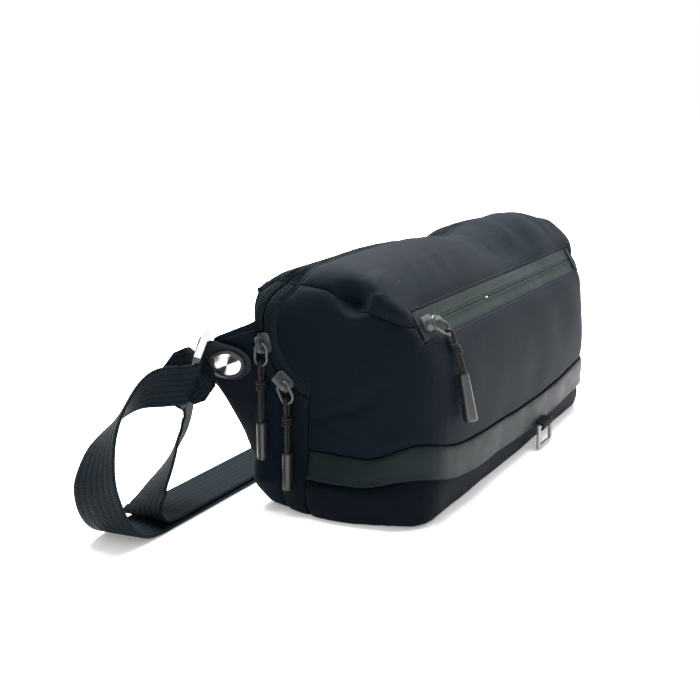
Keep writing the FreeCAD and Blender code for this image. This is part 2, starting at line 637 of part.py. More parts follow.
def tongue(start):
    """A flat strap end with a round tip, from start along the tab to its tip."""
    half, flat, z = TAB_WIDTH / 2, TAB_LONG - TAB_WIDTH / 2, -TAB / 2
    edges = [line(V(start, -half, z), V(flat, -half, z)),
             arc(V(flat, -half, z), V(TAB_LONG, 0, z), V(flat, half, z)),
             line(V(flat, half, z), V(start, half, z)), line(V(start, half, z), V(start, -half, z))]
    solid = Part.Face(Part.Wire(edges)).extrude(V(0, 0, TAB))
    return placed(solid, TAB_BAR, TAB_WAY, BAR_WAY * -1)


def tab():
    """The coated tab that holds the buckle: a loop round its bar, and a flat tongue with a round tip."""
    inner = BAR / 2 + 0.1
    eye = rod(on_tab(0, -TAB_WIDTH / 2, 0), on_tab(0, TAB_WIDTH / 2, 0), 2 * (inner + TAB))
    hole = rod(on_tab(0, -TAB_WIDTH, 0), on_tab(0, TAB_WIDTH, 0), 2 * inner)
    solid = eye.fuse(tongue(inner)).cut(hole)
    return solid.cut(tab_rod(RIVET_AT, -5, 5, RIVET_SHANK + SEAM))


def rivet():
    """Black ring, bright cap, and the shank with its back washer."""
    face = TAB / 2
    back = -(TAB / 2 + TAB_CLEAR + WING + WASHER_DROP)
    ring_solid = tab_rod(RIVET_AT, face + 0.05, face + RIVET_RING_HIGH, RIVET_RING)
    recess = tab_rod(RIVET_AT, face + RIVET_RING_HIGH - RIVET_CAP_HIGH, face + 9, RIVET_CAP + SEAM)
    seat = face + RIVET_RING_HIGH - RIVET_CAP_HIGH
    ring_solid = ring_solid.cut(recess).cut(tab_rod(RIVET_AT, 0, 9, RIVET_SHANK + SEAM))
    cap = tab_rod(RIVET_AT, seat + 0.05, seat + RIVET_CAP_HIGH + 0.4, RIVET_CAP)
    shank = tab_rod(RIVET_AT, back - WASHER, seat, RIVET_SHANK)
    washer = tab_rod(RIVET_AT, back - WASHER, back, RIVET_CAP)
    return {"rivet_ring": ring_solid, "rivet_cap": cap, "rivet_shank": shank.fuse(washer).removeSplitter()}


def on_buckle(across, along, out=0.0):
    """A point of the buckle, from the middle of the tab's bar."""
    return TAB_BAR + BAR_WAY * across + BUCKLE_WAY * along + BAR_WAY.cross(BUCKLE_WAY) * out


def buckle():
    """A three-bar slide: two rails joined by round bars for the tab and the webbing."""
    half = WEBBING / 2 + FRAME_CLEAR
    reach = 2 * BAR_SPACING
    pieces = [rod(on_buckle(-half - 0.5, s), on_buckle(half + 0.5, s), BAR)
              for s in (0, BAR_SPACING, reach)]
    for way in (-1, 1):
        a, b = sorted((way * half, way * (half + RAIL)))
        rail = box(a, b, -RAIL / 2 - 0.6, reach + RAIL / 2 + 0.6, -RAIL / 2, RAIL / 2)
        pieces.append(placed(rail, TAB_BAR, BAR_WAY, BUCKLE_WAY))
    return pieces[0].fuse(pieces[1:]).removeSplitter()


# ---- webbing -------------------------------------------------------------------------------
FLOOR_LAY = WEBBING_THICK / 2 + 0.3          # middle of webbing that lies on the floor
OVER_LAY = FLOOR_LAY + WEBBING_THICK + 0.7   # middle of webbing that lies on that
FAR_BAR = on_buckle(0, 2 * BAR_SPACING)
WRAP = BAR / 2 + 0.3 + WEBBING_THICK / 2
IN_WAY = (V(12, -5, -3.5) - BAR_WAY * V(12, -5, -3.5).dot(BAR_WAY)).normalize()
OUT_WAY = BAR_WAY.cross(IN_WAY).normalize()
if OUT_WAY.y < 0:
    OUT_WAY = OUT_WAY * -1


def beside(out, back, z):
    """A point of the webbing beside the left end: out from it, and with its height set by the tab's bar."""
    return V(-HALF_LENGTH - out, BACK_Y + back, z * TAB_BAR.z / 86)


def beside_right(out, back, z):
    """The same beside the right end."""
    left = beside(out, back, z)
    return V(-left.x, left.y, left.z)


def smooth(points, step):
    """Points about step apart on a smooth curve through the given points."""
    curve = Part.BSplineCurve()
    curve.interpolate(points)
    edge = curve.toShape()
    return edge.discretize(Number=max(3, int(edge.Length / step) + 1))


def turning(first, last, count, start=0.0, end=1.0):
    """Directions that turn evenly from first to last between two shares of the way."""
    ways = []
    for i in range(count):
        t = min(max((i / (count - 1) - start) / (end - start), 0), 1)
        ways.append(first * (1 - t) + last * t)
    return ways


def ribbons(stretches):
    """Flat straps along one line in stretches, which share their end sections."""
    points, ways, spans = [], [], {}
    for name, run, turn in stretches:
        first = max(len(points) - 1, 0)
        skip = 1 if points else 0
        points += run[skip:]
        ways += turn[skip:]
        spans[name] = (first, len(points))
    wires = []
    for i, point in enumerate(points):
        run = points[min(i + 1, len(points) - 1)] - points[max(i - 1, 0)]
        run.normalize()
        way = ways[i] - run * ways[i].dot(run)
        way.normalize()
        wires.append(section(point, way, run.cross(way), WEBBING, WEBBING_THICK))
    length = sum((b - a).Length for a, b in zip(points, points[1:]))
    print(f"webbing: about {length + 2 * TAIL_FOLD:.0f} mm in all")
    return {name: loft(wires[first:last]) for name, (first, last) in spans.items()}


def strap():
    """The shoulder strap: one length of webbing, from the right wing round the buckle to its tail."""
    right = V(-TAB_BAR.x, TAB_BAR.y, TAB_BAR.z)
    out = V(TAB_WAY.x, -TAB_WAY.y, -TAB_WAY.z)
    bar_right = V(-BAR_WAY.x, BAR_WAY.y, BAR_WAY.z)
    flat = V(0, 1, 0)
    leave = FAR_BAR + IN_WAY * (WRAP - 0.5) + OUT_WAY * 8.5
    low_y, over_y = BACK_Y + 30, BACK_Y + 31
    run_right, run_left = HALF_LENGTH - 8, -HALF_LENGTH - 57
    fall = smooth([right - out * 1.8, right + out * 6, beside_right(30, 30, 83), beside_right(38, 32, 62),
                   beside_right(38, 32, 38), beside_right(30, 31, 16), V(HALF_LENGTH + 14, low_y, FLOOR_LAY + 1.5),
                   V(run_right, low_y, FLOOR_LAY)], 7)
    floor_run = [V(run_right, low_y, FLOOR_LAY), V(run_right - 5, low_y, FLOOR_LAY),
                 V(run_left + 5, low_y, FLOOR_LAY), V(run_left, low_y, FLOOR_LAY)]
    curl = smooth([V(run_left, low_y, FLOOR_LAY), beside(74, 30, 4.5), beside(86, 30, 17), beside(91, 30, 34),
                   beside(86, 29, 52), beside(73, 26, 67), beside(57, 21, 76),
                   FAR_BAR - IN_WAY * 9 - OUT_WAY * WRAP], 5)
    wrap = smooth([FAR_BAR - IN_WAY * 9 - OUT_WAY * WRAP, FAR_BAR - IN_WAY * 4 - OUT_WAY * WRAP,
                   FAR_BAR - OUT_WAY * WRAP, FAR_BAR + (IN_WAY - OUT_WAY) * (WRAP * 0.707),
                   FAR_BAR + IN_WAY * WRAP, FAR_BAR + IN_WAY * WRAP + OUT_WAY * 3, leave], 1.2)
    turn, over = -HALF_LENGTH - 62, -HALF_LENGTH - 32
    back_loop = smooth([leave, leave + OUT_WAY * 4, leave + OUT_WAY * 9, beside(13, 36, 84), beside(6, 42, 73),
                        beside(11, 42, 58), beside(27, 39, 46), beside(46, 35, 34), beside(59, 33, 23),
                        V(turn, BACK_Y + 32, 12.5), V(turn + 7, over_y, OVER_LAY + 1.6),
                        V(turn + 18, over_y, OVER_LAY + 0.1), V(over, over_y, OVER_LAY)], 4)
    tail = [V(over, over_y, OVER_LAY), V(over + 5, over_y, OVER_LAY), V(TAIL_END, over_y, OVER_LAY)]
    made = ribbons([("webbing_right_fall", fall, turning(bar_right, flat, len(fall), 0.1)),
                    ("webbing_floor_run", floor_run, [flat] * 4),
                    ("webbing_curl", curl, turning(flat, BAR_WAY, len(curl), 0.1, 0.9)),
                    ("webbing_wrap", wrap, [BAR_WAY] * len(wrap)),
                    ("webbing_return_loop", back_loop, turning(BAR_WAY, flat, len(back_loop), 0.3, 0.9)),
                    ("webbing_tail", tail, [flat] * 3)])
    low = OVER_LAY - WEBBING_THICK / 2
    made["webbing_tail_fold"] = box(TAIL_END, TAIL_END + TAIL_FOLD, over_y - WEBBING / 2, over_y + WEBBING / 2,
                                    low, low + 2 * WEBBING_THICK)
    return made


def hook():
    """The accessory hook: a wire frame on a short folded strap below the hem band."""
    hinge_z = HEM_LOW - HOOK_DROP
    y = FRONT_Y - HEM_PROUD - HOOK_ROD / 2 - HOOK_OFF
    inner = HOOK_ROD / 2 + 0.2
    loop = rod(V(HOOK_X - HOOK_STRAP / 2, y, hinge_z), V(HOOK_X + HOOK_STRAP / 2, y, hinge_z),
               2 * (inner + HOOK_STRAP_THICK))
    neck_back = FRONT_Y + 1.5
    neck = box(HOOK_X - HOOK_STRAP / 2, HOOK_X + HOOK_STRAP / 2, y, neck_back, hinge_z - 0.2,
               hinge_z + inner + HOOK_STRAP_THICK)
    bore = rod(V(HOOK_X - HOOK_STRAP, y, hinge_z), V(HOOK_X + HOOK_STRAP, y, hinge_z), 2 * inner)
    strap_solid = loop.fuse(neck).cut(bore).cut(body(-SEAM / 2))
    strap_solid = sorted(strap_solid.Solids, key=lambda s: s.Volume)[-1]
    w, h = HOOK_WIDE / 2 - HOOK_ROD / 2, HOOK_HIGH - HOOK_ROD
    corners = [V(HOOK_X - w, y, hinge_z), V(HOOK_X + w, y, hinge_z),
               V(HOOK_X + w, y, hinge_z - h), V(HOOK_X - w, y, hinge_z - h)]
    pieces = [rod(a, b, HOOK_ROD) for a, b in zip(corners, corners[1:] + corners[:1])]
    pieces += [Part.makeSphere(HOOK_ROD / 2, c) for c in corners]
    frame = pieces[0].fuse(pieces[1:]).removeSplitter()
    return {"hook_strap": strap_solid, "hook_frame": frame}


def strap_anchor():
    """The stitched patch that holds the webbing on the right wing."""
    return mirrored(tongue(2.0))


def main():
    """Write every sub-part."""
    parts = {}
    parts.update(front_flap_panels())
    parts.update(lower_panels())
    parts["back_panel"] = back_panel()
    parts.update(padding())
    parts.update(linings())
    parts["front_pocket_bag"] = front_pocket()
    parts["slip_divider"] = divider()
    parts.update(main_zip())
    parts.update(front_zip())
    parts.update(main_slider_set("upper", UPPER_SLIDER_AT, -UPPER_SLIDER_AT, UPPER_CORD_DROP))
    parts.update(main_slider_set("lower", LOWER_SLIDER_AT, LOWER_RING_LEAN, LOWER_CORD_DROP))
    parts.update(front_slider_set())
    parts["left_wing"] = wing(True)
    parts["right_wing"] = mirrored(wing(False))
    parts["buckle_tab"] = tab()
    parts["right_strap_patch"] = strap_anchor()
    parts.update(rivet())
    parts["strap_buckle"] = buckle()
    parts.update(strap())
    parts.update(hook())
    os.makedirs("parts", exist_ok=True)
    for name, shape in parts.items():
        if shape.Volume <= 0 or not shape.isValid():
            print(f"{name}: volume {shape.Volume:.1f}, valid {shape.isValid()}")
        print(f"{name}: {len(shape.Solids)} solids, {shape.Volume / 1000:.2f} cm3")
        shape.exportStep(f"parts/{name}.step")
    print(len(parts), "nodes")


main()
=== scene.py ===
"""Sling bag in a coated-trim softshell cloth: panels, zips, pulls, wings, buckle, webbing strap and accessory hook.

Shapes are worked out in millimetres in the frame's own axes and written to the meshes in metres.
X runs along the bag, the front faces -Y, the worn side faces +Y and the floor is z = 0.
"""
import bpy
import logging
import math
from dataclasses import dataclass, field
from enum import Enum
from typing import Callable
import numpy as np
from mathutils import Matrix, Vector


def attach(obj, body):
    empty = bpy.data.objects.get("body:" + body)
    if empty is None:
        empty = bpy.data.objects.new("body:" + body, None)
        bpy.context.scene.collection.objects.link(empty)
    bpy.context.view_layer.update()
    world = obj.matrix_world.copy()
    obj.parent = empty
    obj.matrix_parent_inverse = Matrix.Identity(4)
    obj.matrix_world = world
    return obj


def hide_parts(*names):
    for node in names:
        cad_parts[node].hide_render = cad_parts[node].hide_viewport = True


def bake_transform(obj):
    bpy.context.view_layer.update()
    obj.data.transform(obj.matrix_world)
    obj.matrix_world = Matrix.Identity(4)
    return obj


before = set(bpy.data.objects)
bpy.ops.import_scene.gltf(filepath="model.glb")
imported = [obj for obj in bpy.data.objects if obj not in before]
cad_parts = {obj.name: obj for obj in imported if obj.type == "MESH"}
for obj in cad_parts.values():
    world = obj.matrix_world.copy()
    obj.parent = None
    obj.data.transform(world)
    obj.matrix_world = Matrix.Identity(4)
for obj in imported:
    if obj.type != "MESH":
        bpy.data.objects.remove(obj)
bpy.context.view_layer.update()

LOG = logging.getLogger("bag")
MM = 0.001
TURN = 2 * math.pi
MADE = "made_"
Array = np.ndarray
Shape = tuple[Array, Array]


# ---- vectors and curves ---------------------------------------------------------------------
def unit(v: Array) -> Array:
    """v with each of its last-axis vectors scaled to length one."""
    v = np.asarray(v, float)
    return v / np.maximum(np.linalg.norm(v, axis=-1, keepdims=True), 1e-12)


def dot(a: Array, b: Array) -> Array:
    """Sum of products along the last axis."""
    return np.sum(a * b, axis=-1)


def bump(t: Array, width: float) -> Array:
    """A bell of height one: e to the power of minus (t / width) squared."""
    return np.exp(-(t / width) ** 2)


def ease(t: Array, low: float, high: float) -> Array:
    """A smooth step from nought at low to one at high: 3t^2 - 2t^3 of the clipped share."""
    s = np.clip((t - low) / (high - low), 0, 1)
    return s * s * (3 - 2 * s)


def ripples(p: Array, seed: int, length: float, count: int = 14) -> Array:
    """Soft random unevenness: a sum of sine waves in random directions, about one high.

    Args:
        p: Points, one per row.
        seed: Seed of the wave directions and phases.
        length: Typical wave length.
        count: Number of waves.
    Returns:
        One height per point.
    """
    rng = np.random.default_rng(seed)
    ways = unit(rng.normal(size=(count, 3)))
    rates = TURN / (length * rng.uniform(0.6, 1.8, count))
    phases = rng.uniform(0, TURN, count)
    return np.sin(p @ (ways * rates[:, None]).T + phases).sum(axis=-1) / math.sqrt(count)


def arc_through(a: Array, m: Array, b: Array, count: int) -> Array:
    """Points on the circle through three points in a plane, from a to b.

    Args:
        a, m, b: The start, a point on the way and the end.
        count: Number of points.
    Returns:
        The points, one per row.
    """
    a, m, b = (np.asarray(v, float) for v in (a, m, b))
    centre = np.linalg.solve(2 * np.array([m - a, b - a]), np.array([m @ m - a @ a, b @ b - a @ a]))
    first, last = (math.atan2(*(v - centre)[::-1]) for v in (a, b))
    last -= TURN * round((last - first) / TURN)
    angles = np.linspace(first, last, count)
    return centre + np.linalg.norm(a - centre) * np.stack([np.cos(angles), np.sin(angles)], axis=-1)


def through(points: Array, step: float) -> Array:
    """Points a step apart on a smooth curve through the given points.

    Each span is a Hermite cubic in chord length, whose end slopes are the chord slopes' means.

    Args:
        points: Route points, one per row.
        step: Distance between the results.
    Returns:
        Points on the curve, evenly spaced.
    """
    p = np.asarray(points, float)
    chord = np.linalg.norm(np.diff(p, axis=0), axis=1)
    at = np.r_[0, np.cumsum(chord)]
    slope = np.gradient(p, at, axis=0)
    t = np.linspace(0, at[-1], 40 * len(p))
    i = np.clip(np.searchsorted(at, t, side="right") - 1, 0, len(chord) - 1)
    h = chord[i][:, None]
    s = ((t - at[i])[:, None]) / h
    curve = ((2 * s**3 - 3 * s**2 + 1) * p[i] + (s**3 - 2 * s**2 + s) * h * slope[i]
             + (3 * s**2 - 2 * s**3) * p[i + 1] + (s**3 - s**2) * h * slope[i + 1])
    return evenly(curve, step)


def evenly(curve: Array, step: float) -> Array:
    """A line's points taken again at even distances along it.

    Args:
        curve: Dense points of the line.
        step: Distance wanted.
    Returns:
        The new points, with both ends kept.
    """
    run = np.r_[0, np.cumsum(np.linalg.norm(np.diff(curve, axis=0), axis=1))]
    at = np.linspace(0, run[-1], max(2, int(round(run[-1] / step)) + 1))
    return np.stack([np.interp(at, run, curve[:, k]) for k in range(curve.shape[1])], axis=-1)


# ---- meshes ---------------------------------------------------------------------------------
def grid_faces(rows: int, cols: int, wrap: bool = False) -> Array:
    """Quads of a grid of points kept row by row, with the last column joined to the first on request."""
    r = np.arange(rows - 1)[:, None]
    c = np.arange(cols if wrap else cols - 1)[None, :]
    d = (c + 1) % cols
    quads = np.stack([r * cols + c, r * cols + d, (r + 1) * cols + d, (r + 1) * cols + c], axis=-1)
    return quads.reshape(-1, 4)


def tube_shape(rings: Array) -> Shape:
    """A closed shell through rings of points, with a flat fan over each end.

    Args:
        rings: Points, shaped rings x points round x 3.
    Returns:
        Vertices and triangles.
    """
    rows, cols = rings.shape[:2]
    quads = grid_faces(rows, cols, True)
    tris = np.concatenate([quads[:, [0, 1, 2]], quads[:, [0, 2, 3]]])
    ends = np.stack([rings[0].mean(axis=0), rings[-1].mean(axis=0)])
    c = np.arange(cols)
    d = (c + 1) % cols
    first = np.stack([np.full(cols, rows * cols), d, c], axis=-1)
    last = np.stack([np.full(cols, rows * cols + 1), (rows - 1) * cols + c, (rows - 1) * cols + d], axis=-1)
    return np.concatenate([rings.reshape(-1, 3), ends]), np.concatenate([tris, first, last])


def outward(shape: Shape) -> Shape:
    """The closed shape with its triangles turned round if its volume is negative."""
    points, tris = shape
    a, b, c = (points[tris[:, k]] for k in range(3))
    return (points, tris) if dot(a, np.cross(b, c)).sum() > 0 else (points, tris[:, ::-1])


def joined(shapes: list[Shape]) -> Shape:
    """Several triangle shapes as one."""
    starts = np.cumsum([0] + [len(p) for p, _ in shapes[:-1]])
    return (np.concatenate([p for p, _ in shapes]),
            np.concatenate([f + s for (_, f), s in zip(shapes, starts)]))


def lathe(profile: Array, origin: Array, axis: Array, count: int = 48, facets: float = 0.0) -> Shape:
    """A turned shape: radius and height pairs carried round an axis.

    Args:
        profile: Rows of radius and height; an end at radius nought closes the shape.
        origin: Point of the axis at height nought.
        axis: Way of the axis.
        count: Points round.
        facets: Share by which four flats narrow the round section.
    Returns:
        Vertices and triangles.
    """
    axis = unit(axis)
    side = unit(np.cross(axis, [0.31, 0.2, 0.93]))
    other = np.cross(axis, side)
    angle = np.arange(count) / count * TURN
    shrink = 1 - facets * (0.5 - 0.5 * np.cos(4 * angle))
    around = (np.cos(angle) * shrink)[:, None] * side + (np.sin(angle) * shrink)[:, None] * other
    profile = np.asarray(profile, float)
    rings = np.asarray(origin) + profile[:, :1, None] * around + profile[:, 1:, None] * axis
    return outward(tube_shape(rings))


def sweep(path: Array, across: Array, outline: Array) -> Array:
    """A flat outline carried along a path.

    Args:
        path: Points of the path.
        across: At each point, the way of the outline's first coordinate.
        outline: Closed outline, one pair per row, or one outline per path point.
    Returns:
        Rings of points for tube_shape.
    """
    run = unit(np.gradient(path, axis=0))
    wide = unit(across - run * dot(across, run)[:, None])
    thick = np.cross(run, wide)
    outline = np.broadcast_to(outline, (len(path),) + np.shape(outline)[-2:])
    return path[:, None] + outline[..., :1] * wide[:, None] + outline[..., 1:] * thick[:, None]


def make(name: str, shape: Shape, finish: "Finish", uv: Array | None = None,
         sharp: float = 50.0) -> bpy.types.Object:
    """A Blender mesh object from a shape in millimetres, placed by its vertices.

    Args:
        name: The piece's name.
        shape: Vertices and faces.
        finish: What it is made of.
        uv: A pair per vertex for materials that follow the surface.
        sharp: Angle in degrees past which an edge stays sharp.
    Returns:
        The new object.
    """
    points, faces = shape
    mesh = bpy.data.meshes.new(name)
    mesh.from_pydata((points * MM).tolist(), [], faces.tolist())
    mesh.polygons.foreach_set("use_smooth", np.ones(len(mesh.polygons), bool))
    if uv is not None:
        corner = np.empty(len(mesh.loops), np.int32)
        mesh.loops.foreach_get("vertex_index", corner)
        mesh.uv_layers.new(name="UVMap").data.foreach_set("uv", uv[corner].astype(np.float32).ravel())
    mesh.set_sharp_from_angle(angle=math.radians(sharp))
    mesh.materials.append(finish.material())
    mesh.update()
    piece = bpy.data.objects.new(MADE + name, mesh)
    bpy.context.scene.collection.objects.link(piece)
    return piece


def own_node(piece: bpy.types.Object) -> str:
    """The name of the frame's node that a piece is named after."""
    return piece.name.removeprefix(MADE)


def report(piece: bpy.types.Object) -> None:
    """Log a finished piece's name and size."""
    LOG.info("%s: %d vertices", piece.name, len(piece.data.vertices) if piece.type == "MESH" else 0)


# ---- finishes -------------------------------------------------------------------------------
class Graph:
    """A material's node tree, with a short way to add and link nodes."""

    def __init__(self, name: str) -> None:
        """Start an empty material of that name with its Principled shader."""
        self.made = bpy.data.materials.new(name)
        self.made.use_nodes = True
        self.tree = self.made.node_tree
        self.shader = self.tree.nodes["Principled BSDF"]
        self.place = self.add("ShaderNodeTexCoord").outputs["Object"]

    def add(self, kind: str, options: dict | None = None, **values: object) -> bpy.types.Node:
        """Add a node.

        Args:
            kind: The node's type.
            options: The node's own settings.
            values: Inputs by name with underscores for spaces, as values or sockets.
        Returns:
            The node.
        """
        node = self.tree.nodes.new(kind)
        for key, value in (options or {}).items():
            setattr(node, key, value)
        for key, value in values.items():
            self.fill(node.inputs[int(key[1:]) if key[1:].isdigit() else key.replace("_", " ")], value)
        return node

    def fill(self, socket: bpy.types.NodeSocket, value: object) -> None:
        """Link a socket to a socket, or set it to a value."""
        if isinstance(value, bpy.types.NodeSocket):
            self.tree.links.new(value, socket)
        else:
            socket.default_value = value

    def math(self, rule: str, a: object, b: object = 0.0) -> bpy.types.NodeSocket:
        """The result of a Math node."""
        return self.add("ShaderNodeMath", {"operation": rule}, _0=a, _1=b).outputs[0]

    def noise(self, scale: float, detail: float = 2.0, where: object = None) -> bpy.types.NodeSocket:
        """A noise value on the piece's own coordinates."""
        return self.add("ShaderNodeTexNoise", Vector=where or self.place, Scale=scale, Detail=detail).outputs["Fac"]

    def span(self, value: object, low: float, high: float, to_low: float, to_high: float) -> bpy.types.NodeSocket:
        """A value carried from one range to another."""
        return self.add("ShaderNodeMapRange", Value=value, _1=low, _2=high, _3=to_low, _4=to_high).outputs[0]

    def mix(self, share: object, a: object, b: object, rule: str = "MIX") -> bpy.types.NodeSocket:
        """A mix of two colours."""
        node = self.add("ShaderNodeMix", {"data_type": "RGBA", "blend_type": rule})
        for socket, value in ((node.inputs[0], share), (node.inputs[6], a), (node.inputs[7], b)):
            self.fill(socket, value)
        return node.outputs[2]

    def relief(self, height: object, depth: float, under: object = None) -> bpy.types.NodeSocket:
        """A bump normal of that depth in metres, laid over another one."""
        node = self.add("ShaderNodeBump", Height=height, Distance=depth, Strength=1.0)
        if under is not None:
            self.fill(node.inputs["Normal"], under)
        return node.outputs[0]

    def dress(self, **values: object) -> bpy.types.Material:
        """Set the shader's inputs and return the material."""
        for key, value in values.items():
            self.fill(self.shader.inputs[key.replace("_", " ")], value)
        return self.made


def shade(value: float, tint: tuple[float, float, float]) -> tuple[float, float, float, float]:
    """A colour of that lightness and tint, opaque."""
    return tuple(value * t for t in tint) + (1.0,)


@dataclass(frozen=True)
class Finish:
    """Something a piece is made of: its name, colour, tint and gloss."""

    name: str
    light: float
    tint: tuple[float, float, float] = (1.0, 1.0, 1.0)
    rough: float = 0.6

    def colour(self, share: float = 1.0) -> tuple[float, float, float, float]:
        """The base colour, lighter or darker by a share."""
        return shade(self.light * share, self.tint)

    def material(self) -> bpy.types.Material:
        """The material, made once."""
        name = MADE + self.name
        return bpy.data.materials.get(name) or self.build(Graph(name))

    def build(self, g: Graph) -> bpy.types.Material:
        """Fill the node tree."""
        raise NotImplementedError


@dataclass(frozen=True)
class Softshell(Finish):
    """A dense stretch weave: fine diagonal threads, faint mottling, a soft sheen and a few specks of lint."""

    pitch: float = 0.62
    depth: float = 0.00012
    lint: float = 1.0
    sheen: float = 0.35

    def build(self, g: Graph) -> bpy.types.Material:
        """Two crossed thread waves broken up by noise make the bump and the grain of the colour."""
        rate = 1000 / self.pitch / TURN * 3.1416 * 2
        waves = []
        for way, turn in (("warp", (0.0, 0.6, 0.5)), ("weft", (0.0, -0.9, 1.2))):
            spot = g.add("ShaderNodeMapping", Vector=g.place, Rotation=turn).outputs[0]
            waves.append(g.add("ShaderNodeTexWave", {"bands_direction": "DIAGONAL"}, Vector=spot, Scale=rate / 3,
                               Distortion=1.6, Detail=2.0, Detail_Scale=3.0).outputs["Fac"])
        weave = g.math("MULTIPLY", g.math("ADD", waves[0], waves[1]), 0.5)
        grain = g.noise(2600, 3)
        cloth = g.math("ADD", g.math("MULTIPLY", weave, 0.12), g.math("MULTIPLY", grain, 0.95))
        mottle = g.noise(30, 3)
        cells = g.add("ShaderNodeTexVoronoi", Vector=g.place, Scale=170.0)
        near = g.math("LESS_THAN", cells.outputs["Distance"], 0.045)
        chosen = g.math("GREATER_THAN", g.add("ShaderNodeSeparateColor", Color=cells.outputs["Color"]).outputs[0],
                        1 - 0.10 * self.lint)
        speck = g.math("MULTIPLY", g.math("MULTIPLY", near, chosen), 0.55)
        base = g.mix(g.span(cloth, 0.25, 0.95, 0, 1), self.colour(0.55), self.colour(1.5))
        base = g.mix(g.span(mottle, 0.35, 0.65, 0, 0.35), base, self.colour(0.75))
        base = g.mix(speck, base, (0.32, 0.34, 0.38, 1))
        normal = g.relief(cloth, self.depth, g.relief(g.noise(260, 4), 0.00010))
        return g.dress(Base_Color=base, Roughness=g.span(grain, 0.3, 0.7, self.rough - 0.07, self.rough + 0.07),
                       Normal=normal, Sheen_Weight=self.sheen, Sheen_Roughness=0.45,
                       Sheen_Tint=(0.9, 0.95, 1.0, 1), Specular_IOR_Level=0.05)


@dataclass(frozen=True)
class Film(Finish):
    """A smooth water-tight coating: satin, with a very fine pebble and soft streaks in its gloss."""

    pebble: float = 0.00005

    def build(self, g: Graph) -> bpy.types.Material:
        """Noise in two sizes makes the pebble; the gloss varies in long soft patches."""
        fine, broad = g.noise(1500, 3), g.noise(45, 3)
        base = g.mix(g.span(broad, 0.3, 0.7, 0, 1), self.colour(0.8), self.colour(1.2))
        normal = g.relief(fine, self.pebble, g.relief(broad, 0.0006))
        return g.dress(Base_Color=base, Roughness=g.span(broad, 0.3, 0.7, self.rough - 0.05, self.rough + 0.07),
                       Normal=normal, Specular_IOR_Level=0.09)


@dataclass(frozen=True)
class Metal(Finish):
    """Cast or turned metal: fine scratches, small pits and slightly uneven gloss."""

    scratch: float = 0.00002

    def build(self, g: Graph) -> bpy.types.Material:
        """Stretched noise makes the scratches and plain noise the pits."""
        spot = g.add("ShaderNodeMapping", Vector=g.place, Scale=(900.0, 140.0, 500.0)).outputs[0]
        scratches, pits = g.noise(3.0, 4, spot), g.noise(900, 3)
        base = g.mix(g.span(g.noise(220, 3), 0.35, 0.65, 0, 1), self.colour(0.78), self.colour(1.15))
        rough = g.span(scratches, 0.25, 0.75, self.rough - 0.07, self.rough + 0.1)
        return g.dress(Base_Color=base, Metallic=0.25, Roughness=rough, Specular_IOR_Level=0.25,
                       Normal=g.relief(scratches, self.scratch, g.relief(pits, self.scratch)))


@dataclass(frozen=True)
class Turned(Finish):
    """Bright metal faced on a lathe: fine rings and a spread gloss, with two dark wedges of painted reflection in its
    colour.
    """

    reflection_wedge_turn: float = 0.12

    def build(self, g: Graph) -> bpy.types.Material:
        """The UV map gives angle and radius; rings of noise follow the radius only, and the angle paints two dark
        wedges of reflection into the colour.
        """
        uv = g.add("ShaderNodeUVMap", {"uv_map": "UVMap"}).outputs[0]
        radius = g.add("ShaderNodeMapping", Vector=uv, Scale=(2.0, 900.0, 1.0)).outputs[0]
        rings = g.noise(1.0, 4, radius)
        tangent = g.add("ShaderNodeTangent", {"direction_type": "UV_MAP", "uv_map": "UVMap"}).outputs[0]
        turn = g.math("SUBTRACT", g.add("ShaderNodeSeparateXYZ", Vector=uv).outputs[0], self.reflection_wedge_turn)
        # painted reflection: the colour turns almost black in two wedges round the cap, standing in for the dark part
        # of a turned face's reflection
        painted_reflection_dark = g.span(g.math("COSINE", g.math("MULTIPLY", turn, 4 * math.pi)), 0.45, 0.8, 0, 1)
        base = g.mix(g.span(rings, 0.3, 0.7, 0, 1), self.colour(0.85), self.colour(1.08))
        base = g.mix(painted_reflection_dark, base, self.colour(0.03))
        rough = g.span(rings, 0.3, 0.7, self.rough, self.rough + 0.1)
        return g.dress(Base_Color=base, Metallic=1.0, Roughness=rough,
                       Anisotropic=0.85, Tangent=tangent, Normal=g.relief(rings, 0.000012))


@dataclass(frozen=True)
class Moulded(Finish):
    """Moulded plastic: satin, with a fine spark texture and lighter rubbed patches."""

    def build(self, g: Graph) -> bpy.types.Material:
        """Fine noise pits the face, and a broad noise rubs it smooth in places."""
        fine, rub = g.noise(2400, 2), g.noise(120, 3)
        base = g.mix(g.span(rub, 0.4, 0.75, 0, 1), self.colour(), self.colour(1.7))
        return g.dress(Base_Color=base, Roughness=g.span(rub, 0.3, 0.7, self.rough + 0.06, self.rough - 0.08),
                       Normal=g.relief(fine, 0.00002), Specular_IOR_Level=0.4)


